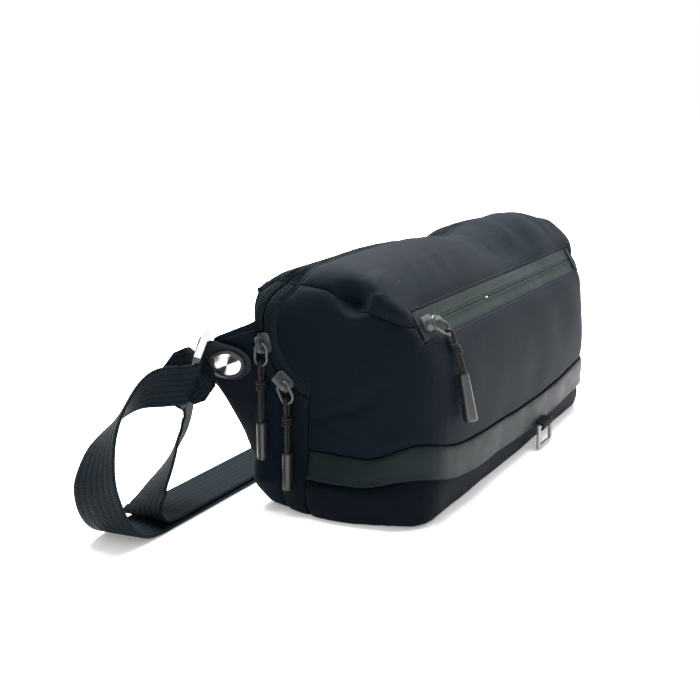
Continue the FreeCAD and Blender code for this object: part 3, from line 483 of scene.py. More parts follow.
@dataclass(frozen=True)
class Threads(Finish):
    """Woven tape, cord or webbing that follows the piece's UV map, in metres along and across.

    The along wave makes the weft ribs and the across wave the warp columns; the rib height also paints the colour
    lighter on the crests and darker in the grooves, as painted shade and highlight.
    """

    along: float = 0.8
    across: float = 1.1
    depth: float = 0.00012
    rib_shade_contrast: float = 0.6

    def build(self, g: Graph) -> bpy.types.Material:
        """Ribs are |sin| of the way along, shifted by half a step on every other column."""
        uv = g.add("ShaderNodeUVMap", {"uv_map": "UVMap"}).outputs[0]
        parts = g.add("ShaderNodeSeparateXYZ", Vector=uv).outputs
        column = g.math("MULTIPLY", parts[1], math.pi * 1000 / self.across)
        step = g.math("MULTIPLY", g.math("FLOOR", g.math("DIVIDE", column, math.pi)), math.pi / 2)
        rib = g.math("ADD", g.math("MULTIPLY", parts[0], math.pi * 1000 / self.along), step)
        high = g.math("MULTIPLY", g.math("ABSOLUTE", g.math("SINE", rib)),
                      g.math("POWER", g.math("ABSOLUTE", g.math("SINE", column)), 0.5))
        fuzz = g.noise(3200, 2)
        level = g.math("ADD", high, g.math("MULTIPLY", fuzz, 0.35))
        # painted shade and highlight: the rib height, with a little random fuzz, darkens the grooves and lightens the
        # crests in the colour
        base = g.mix(g.span(level, 0.1, 1.2, 0, 1), self.colour(1 - self.rib_shade_contrast), self.colour(1 + self.rib_shade_contrast))
        base = g.mix(g.span(g.noise(60, 3), 0.4, 0.7, 0, 0.3), base, self.colour(0.7))
        return g.dress(Base_Color=base, Roughness=g.span(high, 0, 1, self.rough + 0.12, self.rough - 0.06),
                       Normal=g.relief(level, self.depth), Sheen_Weight=0.004, Specular_IOR_Level=0.03)


@dataclass(frozen=True)
class Braid(Finish):
    """Round braid or sewing thread: two diagonal sets of strands on the piece's own coordinates, with painted shade
    between the strands and lighter crests.
    """

    pitch: float = 1.1
    depth: float = 0.00012

    def build(self, g: Graph) -> bpy.types.Material:
        """The strands are the higher of two waves that lean either way; their height also paints the colour darker
        between them and lighter on top.
        """
        waves = []
        for lean in (0.9, -0.9):
            spot = g.add("ShaderNodeMapping", Vector=g.place, Rotation=(lean, lean, 0.7)).outputs[0]
            waves.append(g.add("ShaderNodeTexWave", {"bands_direction": "Z"}, Vector=spot,
                               Scale=314 / self.pitch, Distortion=0.6).outputs["Fac"])
        high = g.math("ADD", g.math("MAXIMUM", *waves), g.math("MULTIPLY", g.noise(3000, 2), 0.3))
        # painted shade and highlight: the strand height darkens the gaps and lightens the crests in the colour
        base = g.mix(g.span(high, 0.3, 1.2, 0, 1), self.colour(0.4), self.colour(1.7))
        return g.dress(Base_Color=base, Roughness=g.span(high, 0.3, 1.2, self.rough + 0.1, self.rough - 0.08),
                       Normal=g.relief(high, self.depth), Sheen_Weight=0.01, Specular_IOR_Level=0.12)


@dataclass(frozen=True)
class Floor(Finish):
    """A pale seamless sweep."""

    def build(self, g: Graph) -> bpy.types.Material:
        """Almost even, with a trace of noise in its gloss and a faint glow that keeps it white to its far edge."""
        rough = g.span(g.noise(3, 2), 0.3, 0.7, self.rough, self.rough + 0.05)
        return g.dress(Base_Color=self.colour(), Roughness=rough,
                       Emission_Color=(1, 1, 1, 1), Emission_Strength=0.22)


COOL = (0.86, 0.9, 1.12)
INK = (0.18, 0.75, 1.6)
CLOTH = Softshell("bag cloth", 0.0040, INK, 0.72, sheen=0.022)
BASE_CLOTH = Softshell("base cloth", 0.0032, INK, 0.75, sheen=0.015)
WING_CLOTH = Softshell("wing cloth", 0.0042, INK, 0.7, lint=0.6, sheen=0.02)
MESH_CLOTH = Softshell("back cloth", 0.0050, INK, 0.8, pitch=1.6, depth=0.0004, lint=0.2, sheen=0.02)
LINING = Softshell("lining cloth", 0.030, (0.95, 1.0, 1.05), 0.6, pitch=0.4, depth=0.00005, lint=0.0, sheen=0.1)
FOAM = Softshell("foam", 0.006, COOL, 0.9, pitch=1.2, depth=0.0003, lint=0.0, sheen=0.01)
HEM_FILM = Film("hem film", 0.0055, (0.5, 1.1, 1.3), 0.52)
ZIP_FILM = Film("zip film", 0.012, (0.6, 1.1, 1.1), 0.46, pebble=0.00003)
TAB_FILM = Film("tab film", 0.006, (0.5, 0.95, 1.3), 0.42)
ZIP_TAPE = Threads("zip tape", 0.009, (0.5, 0.95, 1.2), 0.62, along=0.7, across=0.9, depth=0.0001)
WEB = Threads("webbing", 0.006, (0.45, 0.95, 1.35), 0.5, along=1.5, across=1.43, depth=0.0003, rib_shade_contrast=0.85)
CORD = Braid("pull cord", 0.006, (1, 1, 1.05), 0.5)
THREAD_PLAIN = Braid("sewing thread", 0.009, COOL, 0.5, pitch=0.4, depth=0.00002)
GUNMETAL = Metal("gunmetal", 0.06, (0.95, 1.0, 1.05), 0.26)
BLACK_METAL = Metal("black metal", 0.02, (0.95, 1.0, 1.05), 0.3)
HOOK_METAL = Metal("hook metal", 0.22, (1.0, 0.98, 0.94), 0.28)
BRIGHT_METAL = Turned("bright metal", 0.95, (1.0, 1.0, 0.99), 0.16)
PULL_PLASTIC = Moulded("pull plastic", 0.010, (0.92, 0.98, 1.05), 0.34)
PALE = Floor("pale floor", 0.86, (1, 1, 1), 0.6)


# ---- the bag's outer form -------------------------------------------------------------------
class Region(Enum):
    """The cloth panels that the outer form is cut into."""

    FRONT = "front_panel"
    TOP = "top_panel"
    HEM = "hem_band"
    LOWER = "lower_panel"
    BASE = "base_panel"
    LEFT_STRIP = "left_gusset"
    RIGHT_STRIP = "right_gusset"
    BACK = "back_panel"


@dataclass
class BagForm:
    """The bag's padded outer form: three outlines that limit it, seen from its end, front and top."""

    half_length: float = 148.0
    height: float = 135.8
    front_y: float = -53.0
    back_y: float = 55.0
    base_front_y: float = -46.0
    base_back_y: float = 44.0
    tuck: float = 16.0
    end_tuck: float = 8.0
    hem_low: float = 20.0
    hem_high: float = 38.0
    top_back_radius: float = 23.0
    end_top_radius: float = 24.0
    front_corner: float = 34.0
    back_corner: float = 10.0
    zip_y: float = 8.0
    zip_z: float = 100.0
    zip_radius: float = 36.0
    zip_foot: float = math.radians(-62)
    zip_shoulder: float = math.radians(45)
    zip_lean: float = math.radians(27)
    tape_half: float = 7.5
    window_half: float = 134.0
    slope_low: tuple[float, float] = (-46.5, 92.0)
    slope_high: tuple[float, float] = (-31.0, 118.0)
    softness: float = 2.6
    planes: dict[str, Shape] = field(default_factory=dict)

    def __post_init__(self) -> None:
        """Work out the outlines' tangent planes."""
        h, b = self.half_length, self.back_y
        crown, r = b - self.top_back_radius, self.top_back_radius
        turn = np.linspace(math.pi / 2, 0, 9)
        side = np.concatenate([
            [(self.base_back_y, 0), (self.base_front_y, 0), (self.front_y + 1, self.hem_low)],
            arc_through((self.front_y, self.hem_high), (self.front_y + 1.5, 66), self.slope_low, 7),
            arc_through(self.slope_high, (-14, self.height - 4.8), (10, self.height), 8),
            np.stack([crown + r * np.cos(turn), self.height - r + r * np.sin(turn)], axis=-1),
            [(b, self.tuck)]])
        follow = np.roll(side, -1, axis=0)
        way = unit(follow - side)
        normal = np.stack([-way[:, 1], way[:, 0]], axis=-1)
        self.planes["side"] = (normal, dot(normal, side))
        e = self.end_top_radius
        angle = np.linspace(0, math.radians(84), 10)
        centre = np.array([h - e, self.height - e])
        normal = np.stack([np.cos(angle), np.sin(angle)], axis=-1)
        offset = normal @ centre + e
        low = unit(np.array([[self.tuck, -self.end_tuck]]))
        self.planes["end"] = (np.concatenate([normal, low]), np.r_[offset, low @ np.array([h, self.tuck])])
        planes = []
        for y, radius, way_y in ((self.front_y, self.front_corner, -1), (b, self.back_corner, 1)):
            angle = np.linspace(math.radians(6), math.radians(78), 9)
            normal = np.stack([np.cos(angle), way_y * np.sin(angle)], axis=-1)
            planes.append((normal, normal @ np.array([h - radius, y - way_y * radius]) + radius))
        self.planes["plan"] = tuple(np.concatenate(v) for v in zip(*planes))

    def depth(self, p: Array) -> Array:
        """How far each point is outside the form: the outlines' tangent distances, joined softly.

        The side outline and the larger of the others meet as s log(e^(a/s) + e^(b/s)), s the softness.
        """
        x, y, z = np.abs(p[..., 0]), p[..., 1], p[..., 2]

        def far(key: str, u: Array, v: Array) -> Array:
            normal, offset = self.planes[key]
            best = np.full(u.shape, -1e9)
            for (a, b), c in zip(normal, offset):
                np.maximum(best, a * u + b * v - c, out=best)
            return best

        side = far("side", y, z)
        ends = np.maximum(far("end", x, z), far("plan", x, y))
        return self.softness * np.logaddexp(side / self.softness, ends / self.softness)

    def normals(self, p: Array) -> Array:
        """Outward way at each point: the depth's slope by central differences."""
        step = 0.4
        slope = [self.depth(p + step * e) - self.depth(p - step * e) for e in np.eye(3)]
        return unit(np.stack(slope, axis=-1))

    def settle(self, p: Array, rounds: int = 6) -> Array:
        """Points moved to the form's surface, along its normals, by their depth."""
        for _ in range(rounds):
            p = p - self.depth(p)[..., None] * self.normals(p)
        return p

    def cast(self, start: Array, way: Array) -> Array:
        """Where rays from inside meet the surface, by halving the span 17 times."""
        near, far = np.zeros(start.shape[:-1]), np.full(start.shape[:-1], 110.0)
        for _ in range(17):
            middle = (near + far) / 2
            inside = self.depth(start + middle[..., None] * way) < 0
            near, far = np.where(inside, middle, near), np.where(inside, far, middle)
        return start + near[..., None] * way

    def mesh(self, rows: int, fine: float = 1.0) -> Shape:
        """The whole surface as triangles.

        Half planes that turn about the bag's long axis cut the form in U lines: out over one end, round the corner,
        along the wall, and back over the other end. Rays run across the ends, fan out in the corners and run
        straight out along the wall.

        Args:
            rows: Number of half planes.
            fine: How many times more points each U line has.
        Returns:
            Vertices and triangles.
        """
        axis_y, axis_z, corner = 4.0, 66.0, 30.0
        phi = np.arange(rows) / rows * TURN
        out = np.stack([np.zeros(rows), np.cos(phi), np.sin(phi)], axis=-1)
        normal, offset = self.planes["side"]
        rise = normal @ out[:, 1:].T
        room = (offset - normal @ np.array([axis_y, axis_z]))[:, None]
        wall = np.where(rise > 1e-6, room / np.where(rise > 1e-6, rise, 1), 1e9).min(axis=0)
        inner = wall - corner
        caps, turns, walls = int(26 * fine), int(36 * fine), int(100 * fine)
        spine_x = self.half_length - corner
        share = (np.arange(caps) + 0.5) / caps
        bend = np.linspace(0, math.pi / 2, turns, endpoint=False)
        run = np.linspace(0, 1, walls)
        radial = np.concatenate([np.outer(inner, share), np.repeat(inner[:, None], turns + walls, axis=1)], axis=1)
        x = np.concatenate([np.full(caps + turns, -spine_x), -spine_x * (1 - run)])
        aim_x = np.concatenate([np.full(caps, -1.0), -np.cos(bend), np.zeros(walls)])
        aim_out = np.concatenate([np.zeros(caps), np.sin(bend), np.ones(walls)])
        axis = np.array([0, axis_y, axis_z])
        start = axis + radial[..., None] * out[:, None] + x[None, :, None] * np.array([1.0, 0, 0])
        way = aim_x[None, :, None] * np.array([1.0, 0, 0]) + aim_out[None, :, None] * out[:, None]
        half = self.cast(start, way)
        other = half[:, -2::-1] * np.array([-1.0, 1, 1])
        return outward(tube_shape(np.concatenate([half, other], axis=1).transpose(1, 0, 2)))

    # fields: positive on the side that the name says
    def inside_zip(self, p: Array) -> Array:
        """Distance in front of the main zip's line: a straight drop, an arc, then a leaning line."""
        y, z = p[..., 1] - self.zip_y, p[..., 2] - self.zip_z
        angle = np.arctan2(z, y)
        drop = self.zip_radius * math.cos(self.zip_foot) - y
        arc = self.zip_radius - np.hypot(y, z)
        low = np.maximum(drop, arc)
        c, s = math.cos(self.zip_lean), math.sin(self.zip_lean)
        base_y, base_z = (self.zip_radius * f(self.zip_shoulder) for f in (math.cos, math.sin))
        lean = -((y - base_y) * c + (z - base_z) * s)
        return np.where(angle >= self.zip_shoulder, lean, low)

    def above_jaw(self, p: Array) -> Array:
        """Distance above the slanting line from the hem's top to the zip's foot."""
        return -0.3615 * (p[..., 1] - self.front_y) + 0.9324 * (p[..., 2] - self.hem_high)

    def above_hem(self, p: Array) -> Array:
        """Height over the hem's own level: it climbs at the left front corner, sags in front, thins on the ends."""
        x, y = p[..., 0], p[..., 1]
        climb = 8.0 * np.exp(-((x + 150) / 30) ** 2) * ease(-y, 14, 46)
        sag = 4.5 * bump(x - 15, 75) * ease(-y, 36, 50)
        middle = (self.hem_low + self.hem_high) / 2
        thin = 1 + 0.28 * ease(np.abs(x), 128, 146) * ease(y, -44, -20)
        return middle + (p[..., 2] - climb + sag - middle) * thin

    def above_seam(self, p: Array) -> Array:
        """Height above the seam between the front and top panels, which dips into a hollow on each end."""
        at = [-60, -38, -30, -22, -17, -11, -3, 7, 18, 29, 60]
        high = [105, 105.4, 109, 112.2, 113, 112.6, 118, 122.5, 124, 125.2, 126]
        return p[..., 2] - np.interp(p[..., 1], at, high)

    def slope_axes(self) -> tuple[Array, Array, Array]:
        """Middle, up-slope way and outward way of the front zip's sloping strip."""
        low, high = (np.array([0, *v]) for v in (self.slope_low, self.slope_high))
        up = unit(high - low)
        return (low + high) / 2, up, np.array([0, -up[2], up[1]])

    def outside_window(self, p: Array) -> Array:
        """Distance outside the front zip's window, measured in the slope's plane."""
        middle, up, _ = self.slope_axes()
        box = np.maximum(np.abs(p[..., 0]) - self.window_half, np.abs((p - middle) @ up) - 8.0)
        return np.where(p[..., 1] < -18, box, 40.0)

    def relief(self, p: Array) -> Array:
        """How far the stuffed cloth stands off the plain form, in soft swells, folds and crumples."""
        x, y, z = p[..., 0], p[..., 1], p[..., 2]
        end = ease(np.abs(x), 118, 146)
        left, right = end * (x < 0), end * (x > 0)
        top = ease(z, 116, 134) * ease(-y, -30, 5)
        front = ease(-y, 36, 50)
        rise = 0.9 * ripples(p, 11, 120) * (0.4 + 0.6 * top) + 0.25 * ripples(p, 12, 38)
        rise = rise - 6.5 * ease(z, 104, 128) * bump(x - 30, 36) + 2.5 * top * bump(x - 98, 34)
        rise = rise - 5.5 * ease(z, 106, 130) * ease(y, 6, 40)
        rise = rise + 10.0 * end * bump(y - 2, 34) * ease(-z, -36, -6)
        wrinkle = np.sin((x - 0.55 * y + 6 * ripples(p, 13, 70)) * TURN / 24)
        rise = rise + 1.1 * top * wrinkle * bump(x - 78, 42) + 0.5 * top * wrinkle * bump(x + 60, 50)
        belly = front * bump(z - 66, 24) * ease(-np.abs(x), -140, -110)
        rise = rise + 1.3 * belly * (1 + 0.4 * ripples(p, 14, 90))
        puff = np.hypot((y + 10) / 30, (z - 86) / 30)
        rise = rise + end * 3.0 * np.exp(-puff ** 2)
        for side, depth in ((left, 1.0), (right, 0.8)):
            rise = rise + depth * side * self.hollow(p)
            fold = (y + 4) * 0.45 + (z - 62) * 0.9
            rise = rise - 1.5 * side * bump(fold + 2 * ripples(p, 15, 30), 3.2) * bump(y + 6, 20)
            fold = (y - 6) * -0.35 + (z - 52) * 0.94
            rise = rise - 1.1 * side * bump(fold, 2.4) * bump(y - 6, 13)
            rise = rise + 0.7 * side * ripples(p, 16, 26) * bump(z - 56, 22) * ease(-y, -22, 0)
        return rise

    def hollow(self, p: Array) -> Array:
        """The deep dart at the top of each end: a hollow, its lower rim, and the ridge of cloth in front of it."""
        y, z = p[..., 1], p[..., 2]
        dip = np.hypot((y + 8.5 - 0.35 * (z - 118)) / 7.5, (z - 118.5) / 6.0)
        rim = np.abs(np.hypot(y + 10, (z - 121) * 1.05) - 11.5)
        ridge_way = np.array([-20.0, -21.0]) / 29.0
        along = (y + 16) * ridge_way[0] + (z - 128) * ridge_way[1]
        off = (y + 16) * ridge_way[1] - (z - 128) * ridge_way[0]
        ridge = bump(off, 3.4) * ease(along, -7, 3) * ease(-along, -32, -16)
        return (-8.5 * np.exp(-dip ** 2) + 2.0 * bump(rim, 3.0) * (z < 121) * bump(y + 10, 14)
                + 3.2 * ridge - 1.8 * bump(off - 5.5, 3.0) * ease(along, -4, 4) * ease(-along, -26, -12))


def clipped(shape: Shape, value: Callable[[Array], Array], snap: float = 0.3) -> Shape:
    """The part of a triangle mesh where a field is positive, cut exactly along the field's nought line.

    Points nearly on the line are moved onto it first, so that no slivers are left.

    Args:
        shape: Vertices and triangles.
        value: The field.
        snap: How near a point has to be to be moved.
    Returns:
        The kept vertices and triangles.
    """
    points, tris = shape
    f = value(points)
    near = np.abs(f) < snap
    if near.any():
        q, step = points[near], 0.05
        slope = np.stack([(value(q + step * e) - value(q - step * e)) / (2 * step) for e in np.eye(3)], axis=-1)
        points = points.copy()
        points[near] = q - slope * (f[near] / np.maximum(dot(slope, slope), 0.2))[:, None]
        f = np.where(near, 0.0, f)
    inside = f >= 0
    count = inside[tris].sum(axis=1)
    cut = tris[(count > 0) & (count < 3)]
    pieces = [tris[count == 3]]
    ones = inside[cut].sum(axis=1)
    for kept, odd in ((1, True), (2, False)):
        t = cut[ones == kept]
        lone = np.argmax(inside[t] == odd, axis=1)
        a, b, c = (t[np.arange(len(t)), (lone + k) % 3] for k in range(3))
        ab, ac = a + 1j * b, a + 1j * c
        names, where = np.unique(np.r_[ab, ac], return_inverse=True)
        u, v = names.real.astype(int), names.imag.astype(int)
        share = (f[u] / (f[u] - f[v]))[:, None]
        new = points[u] * (1 - share) + points[v] * share
        p, q = where[:len(t)] + len(points), where[len(t):] + len(points)
        points, f = np.concatenate([points, new]), np.r_[f, np.zeros(len(new))]
        inside = np.r_[inside, np.ones(len(new), bool)]
        if odd:
            pieces.append(np.stack([a, p, q], axis=-1))
        else:
            pieces += [np.stack([p, b, c], axis=-1), np.stack([p, c, q], axis=-1)]
    return tidied(points, np.concatenate(pieces))


def tidied(points: Array, tris: Array) -> Shape:
    """Double points merged, unused points and triangles without area dropped."""
    _, first, where = np.unique(np.round(points * 50).astype(np.int64), axis=0,
                                return_index=True, return_inverse=True)
    where = where.ravel()
    tris = where[tris]
    points = points[first]
    flat = (tris[:, 0] == tris[:, 1]) | (tris[:, 1] == tris[:, 2]) | (tris[:, 0] == tris[:, 2])
    tris = tris[~flat]
    used, again = np.unique(tris, return_inverse=True)
    return points[used], again.reshape(-1, 3)


@dataclass
class Shell:
    """The bag's cloth panels, cut from the outer form along their seams."""

    form: BagForm
    seam: float = 0.15
    roll: float = 1.0
    roll_width: float = 1.7
    swell: float = 0.7
    cloth: float = 1.3
    rows: int = 310

    def __post_init__(self) -> None:
        """Build the surface that every panel is cut from."""
        self.fine = self.form.mesh(self.rows, 1.4)
        self.coarse = self.form.mesh(self.rows // 2, 0.8)

    def fields(self, region: Region) -> list[Callable[[Array], Array]]:
        """The fields that are all positive in a region."""
        f, half, s = self.form, self.form.tape_half, self.seam
        in_zip = lambda p: f.inside_zip(p) - half - s
        strip = [lambda p: half - np.abs(f.inside_zip(p)), lambda p: -f.above_jaw(p) - s, lambda p: p[..., 2] - 0.8]
        return {
            Region.FRONT: [in_zip, lambda p: f.above_hem(p) - f.hem_high - s, lambda p: -f.above_seam(p) - s,
                           f.outside_window],
            Region.TOP: [in_zip, lambda p: f.above_seam(p) - s, f.outside_window],
            Region.HEM: [in_zip, lambda p: f.above_hem(p) - f.hem_low - s,
                         lambda p: f.hem_high - s - f.above_hem(p)],
            Region.LOWER: [in_zip, lambda p: f.hem_low - s - f.above_hem(p), lambda p: p[..., 2] - 0.8],
            Region.BASE: [lambda p: 0.8 - p[..., 2]],
            Region.LEFT_STRIP: strip + [lambda p: -p[..., 0]],
            Region.RIGHT_STRIP: strip + [lambda p: p[..., 0]],
            Region.BACK: [lambda p: -f.inside_zip(p) - half - s, lambda p: p[..., 2] - 0.8],
        }[region]

    def cut(self, region: Region) -> tuple[Array, Array, Array, Array]:
        """A region's points on the plain form, its triangles, its normals and its distance from its seams."""
        points, tris = self.fine
        fields = self.fields(region)
        for value in fields:
            points, tris = clipped((points, tris), value)
        edge = np.min([np.abs(value(points)) for value in fields], axis=0)
        return points, tris, self.form.normals(points), edge

    def panel(self, region: Region, finish: Finish, proud: float = 0.0,
              thick: float | None = None, extra: Callable[[Array], Array] | None = None) -> bpy.types.Object:
        """One sewn panel: the cut region, swelled between its seams and rolled in along them.

        Each point moves along its normal by proud + relief + swell (1 - e^-(d/9)) - roll e^-(d/roll width),
        where d is its distance from the nearest seam.

        Args:
            region: Which panel.
            finish: Its cloth.
            proud: How far it stands off its neighbours.
            thick: Thickness of the cloth.
            extra: More height, as a function of the plain form's points.
        Returns:
            The panel.
        """
        points, tris, normals, edge = self.cut(region)
        rise = (proud + self.form.relief(points) + self.swell * (1 - np.exp(-edge / 9))
                - self.roll * np.exp(-edge / self.roll_width))
        if extra is not None:
            rise = rise + extra(points)
        moved = points + rise[:, None] * normals
        moved[:, 2] = np.maximum(moved[:, 2], 0.02)
        piece = make(region.value, (moved, tris), finish, sharp=70)
        wall = piece.modifiers.new("cloth", "SOLIDIFY")
        wall.thickness = (self.cloth if thick is None else thick) * MM
        wall.offset = -1
        return piece

    def inner_layer(self, name: str, finish: Finish, inset: float, thick: float, front: bool,
                    low: float | None = None) -> bpy.types.Object:
        """Foam or lining a set distance inside the cloth, of the flap or of the rest of the bag.

        Args:
            name: The piece's name.
            finish: What it is made of.
            inset: Depth of its outer face.
            thick: Its thickness.
            front: Whether it is on the flap.
            low: For a layer of the base, the height that it ends at.
        Returns:
            The piece.
        """
        form, clear = self.form, self.form.tape_half + 2
        inside = lambda p: np.minimum(form.inside_zip(p) - clear, form.above_jaw(p) - 1.2)
        outside = lambda p: np.maximum(-clear - form.inside_zip(p), -form.above_jaw(p) - 1.2)
        fields = [inside, lambda p: form.outside_window(p) - 2] if front else [outside]
        if low is not None:
            fields.append(lambda p: low - p[..., 2])
        shape = self.coarse
        for value in fields:
            shape = clipped(shape, value)
        points, tris = shape
        rise = np.minimum(form.relief(points), 1.0) - inset
        piece = make(name, (points + rise[:, None] * form.normals(points), tris), finish, sharp=70)
        wall = piece.modifiers.new("layer", "SOLIDIFY")
        wall.thickness, wall.offset = thick * MM, -1
        return piece

    def build(self) -> list[bpy.types.Object]:
        """Every panel and layer; all but the front panel ride on a body."""
        form = self.form
        lip = lambda p: 1.4 * bump(form.above_hem(p) - form.hem_low, 1.8)
        tuck = lambda p: -1.6 * bump(form.above_hem(p) - form.hem_low, 6)
        made = [self.panel(Region.FRONT, CLOTH), self.panel(Region.TOP, CLOTH)]
        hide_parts("front_panel")
        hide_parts("top_panel")
        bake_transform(made[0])
        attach(made[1], "front_flap")
        root = [self.panel(Region.HEM, HEM_FILM, 1.1, 1.5, lip),
                self.panel(Region.LOWER, BASE_CLOTH, 0, None, tuck),
                self.panel(Region.BASE, BASE_CLOTH),
                self.panel(Region.LEFT_STRIP, BASE_CLOTH, 0.5),
                self.panel(Region.RIGHT_STRIP, BASE_CLOTH, 0.5),
                self.panel(Region.BACK, MESH_CLOTH)]
        for piece in root:
            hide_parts(own_node(piece))
        lining = self.inner_layer("main_lining", LINING, 5.2, 0.5, False)
        foam = self.inner_layer("back_foam", FOAM, 1.9, 2.6, False)
        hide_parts("main_lining")
        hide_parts("back_foam", "base_foam")
        root += [lining, foam]
        flap = [self.inner_layer("front_lining", LINING, 5.2, 0.5, True),
                self.inner_layer("front_foam", FOAM, 1.9, 2.6, True)]
        for piece in flap:
            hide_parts(own_node(piece))
            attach(piece, "front_flap")
        for piece in root:
            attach(piece, "root")
        return made + root + flap


# ---- sewing and zips ------------------------------------------------------------------------
def stitches(centres: Array, ways: Array, ups: Array, long: float = 1.9, wide: float = 0.5) -> Shape:
    """A row of short thread stitches, each a small spindle pressed into the cloth.

    Args:
        centres: Middle of each stitch.
        ways: Way that each stitch runs.
        ups: Outward way at each stitch.
        long: Length of a stitch.
        wide: Thickness of the thread.
    Returns:
        One shape of all of them.
    """
    share = np.array([-1.0, -0.72, 0.0, 0.72, 1.0])
    thick = np.array([0.3, 0.82, 1.0, 0.82, 0.3])
    angle = np.arange(6) / 6 * TURN
    ways, ups = unit(ways), unit(ups)
    sides = np.cross(ways, ups)
    shapes = []
    for c, w, s, u in zip(centres, ways, sides, ups):
        ring = np.cos(angle)[:, None] * s + np.sin(angle)[:, None] * u * 0.8
        lift = -0.16 * share**2
        rings = (c + share[:, None, None] * w * long / 2 + thick[:, None, None] * ring * wide / 2
                 + lift[:, None, None] * u)
        shapes.append(tube_shape(rings))
    return outward(joined(shapes))


@dataclass
class ZipTape:
    """One side of a zip: tape, and the ribbed back of its coil along the inner edge."""

    form: BagForm
    inner: float = 0.35
    coil_from: float = 0.7
    coil_to: float = 6.0
    coil_rise: float = 0.7
    coil_pitch: float = 1.3
    rib: float = 0.34
    sunk: float = 0.45
    thick: float = 0.7

    def ribbon(self, name: str, base: Callable[[Array, Array], Array], length: float, side: int, half: float,
               step: float, finish: Finish) -> bpy.types.Object:
        """The tape as a grid along and across the zip.

        Height over the cloth is -sunk + coil rise h(v) + rib h(v) sin(2 pi s / pitch), where h is one over the coil
        and nought off it; past the seam it dips under the panel.

        Args:
            name: The piece's name.
            base: Gives points of the plain form from ways along and across.
            length: Length of the zip's line.
            side: One for the front or upper tape, minus one for the other.
            half: Half the width of the zip.
            step: Distance between the grid's rows.
            finish: The tape's finish.
        Returns:
            The tape.
        """
        along = np.linspace(0, length, int(length / step) + 1)
        across = np.r_[self.inner, np.linspace(self.coil_from, self.coil_to, 10),
                       np.linspace(self.coil_to + 0.4, half, 5), half + 1.4]
        s, v = np.meshgrid(along, across * side, indexing="ij")
        points = base(s, v)
        normals = self.form.normals(points)
        off = np.abs(v)
        coil = ease(off, self.inner, self.coil_from + 0.5) * ease(-off, -self.coil_to - 0.5, -self.coil_to + 0.5)
        high = -self.sunk + coil * (self.coil_rise + self.rib * np.sin(s * TURN / self.coil_pitch))
        high = high - 1.1 * ease(off, half, half + 1.2)
        points = points + (high + self.form.relief(points))[..., None] * normals
        faces = grid_faces(*s.shape)
        if side < 0:
            faces = faces[:, ::-1]
        shape = (points.reshape(-1, 3), faces)
        a, b, c = (shape[0][shape[1][:, k]] for k in range(3))
        if dot(np.cross(b - a, c - a), normals.reshape(-1, 3)[shape[1][:, 0]]).mean() < 0:
            shape = (shape[0], faces[:, ::-1])
        uv = np.stack([s, v], axis=-1).reshape(-1, 2) * MM
        piece = make(name, shape, finish, uv)
        wall = piece.modifiers.new("tape", "SOLIDIFY")
        wall.thickness, wall.offset = self.thick * MM, -1
        return piece


@dataclass
class MainZip:
    """The zip that runs up one end, along the top and down the other end."""

    form: BagForm

    def line(self) -> Array:
        """The zip's middle line on the plain form, from its left foot to its right foot."""
        f = self.form
        top, r = f.height - f.end_top_radius, f.end_top_radius
        a = np.linspace(f.zip_foot - 0.26, math.asin((top - f.zip_z) / f.zip_radius), 60)
        end = np.stack([np.full(60, -f.half_length), f.zip_y + f.zip_radius * np.cos(a),
                        f.zip_z + f.zip_radius * np.sin(a)], axis=-1)
        b = np.linspace(0.02, math.pi / 2, 40)
        z = top + r * np.sin(b)
        base_y, base_z = (o + f.zip_radius * t for o, t in ((f.zip_y, math.cos(f.zip_shoulder)),
                                                            (f.zip_z, math.sin(f.zip_shoulder))))
        arc = f.zip_y + np.sqrt(np.maximum(f.zip_radius**2 - (z - f.zip_z) ** 2, 0))
        y = np.where(z < base_z, arc, base_y - (z - base_z) * math.tan(f.zip_lean))
        bend = np.stack([-f.half_length + r - r * np.cos(b), y, z], axis=-1)
        half = np.concatenate([end, bend])
        line = np.concatenate([half, half[::-1] * np.array([-1.0, 1, 1])])
        return evenly(line, 0.5)

    def build(self) -> list[bpy.types.Object]:
        """Both tapes; the rear one rides on the root body."""
        line = self.form.settle(self.line(), 3)
        run = np.r_[0, np.cumsum(np.linalg.norm(np.diff(line, axis=0), axis=1))]
        normals = self.form.normals(line)
        across = unit(np.cross(np.gradient(line, axis=0), normals))
        forward = across[len(line) // 2, 1] < 0
        across = across if forward else -across

        def base(s: Array, v: Array) -> Array:
            """Points of the plain form s along the line and v in front of it."""
            p, b = (np.stack([np.interp(s, run, k[:, i]) for i in range(3)], axis=-1) for k in (line, across))
            return self.form.settle(p + v[..., None] * b, 3)

        tape = ZipTape(self.form)
        made = []
        for name, side in (("front", 1), ("rear", -1)):
            piece = tape.ribbon(f"main_zip_tape_{name}", base, run[-1], side, self.form.tape_half, 0.32, ZIP_TAPE)
            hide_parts(f"main_zip_tape_{name}", f"main_zip_coil_{name}")
            made.append(piece)
        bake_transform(made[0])
        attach(made[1], "root")
        return made


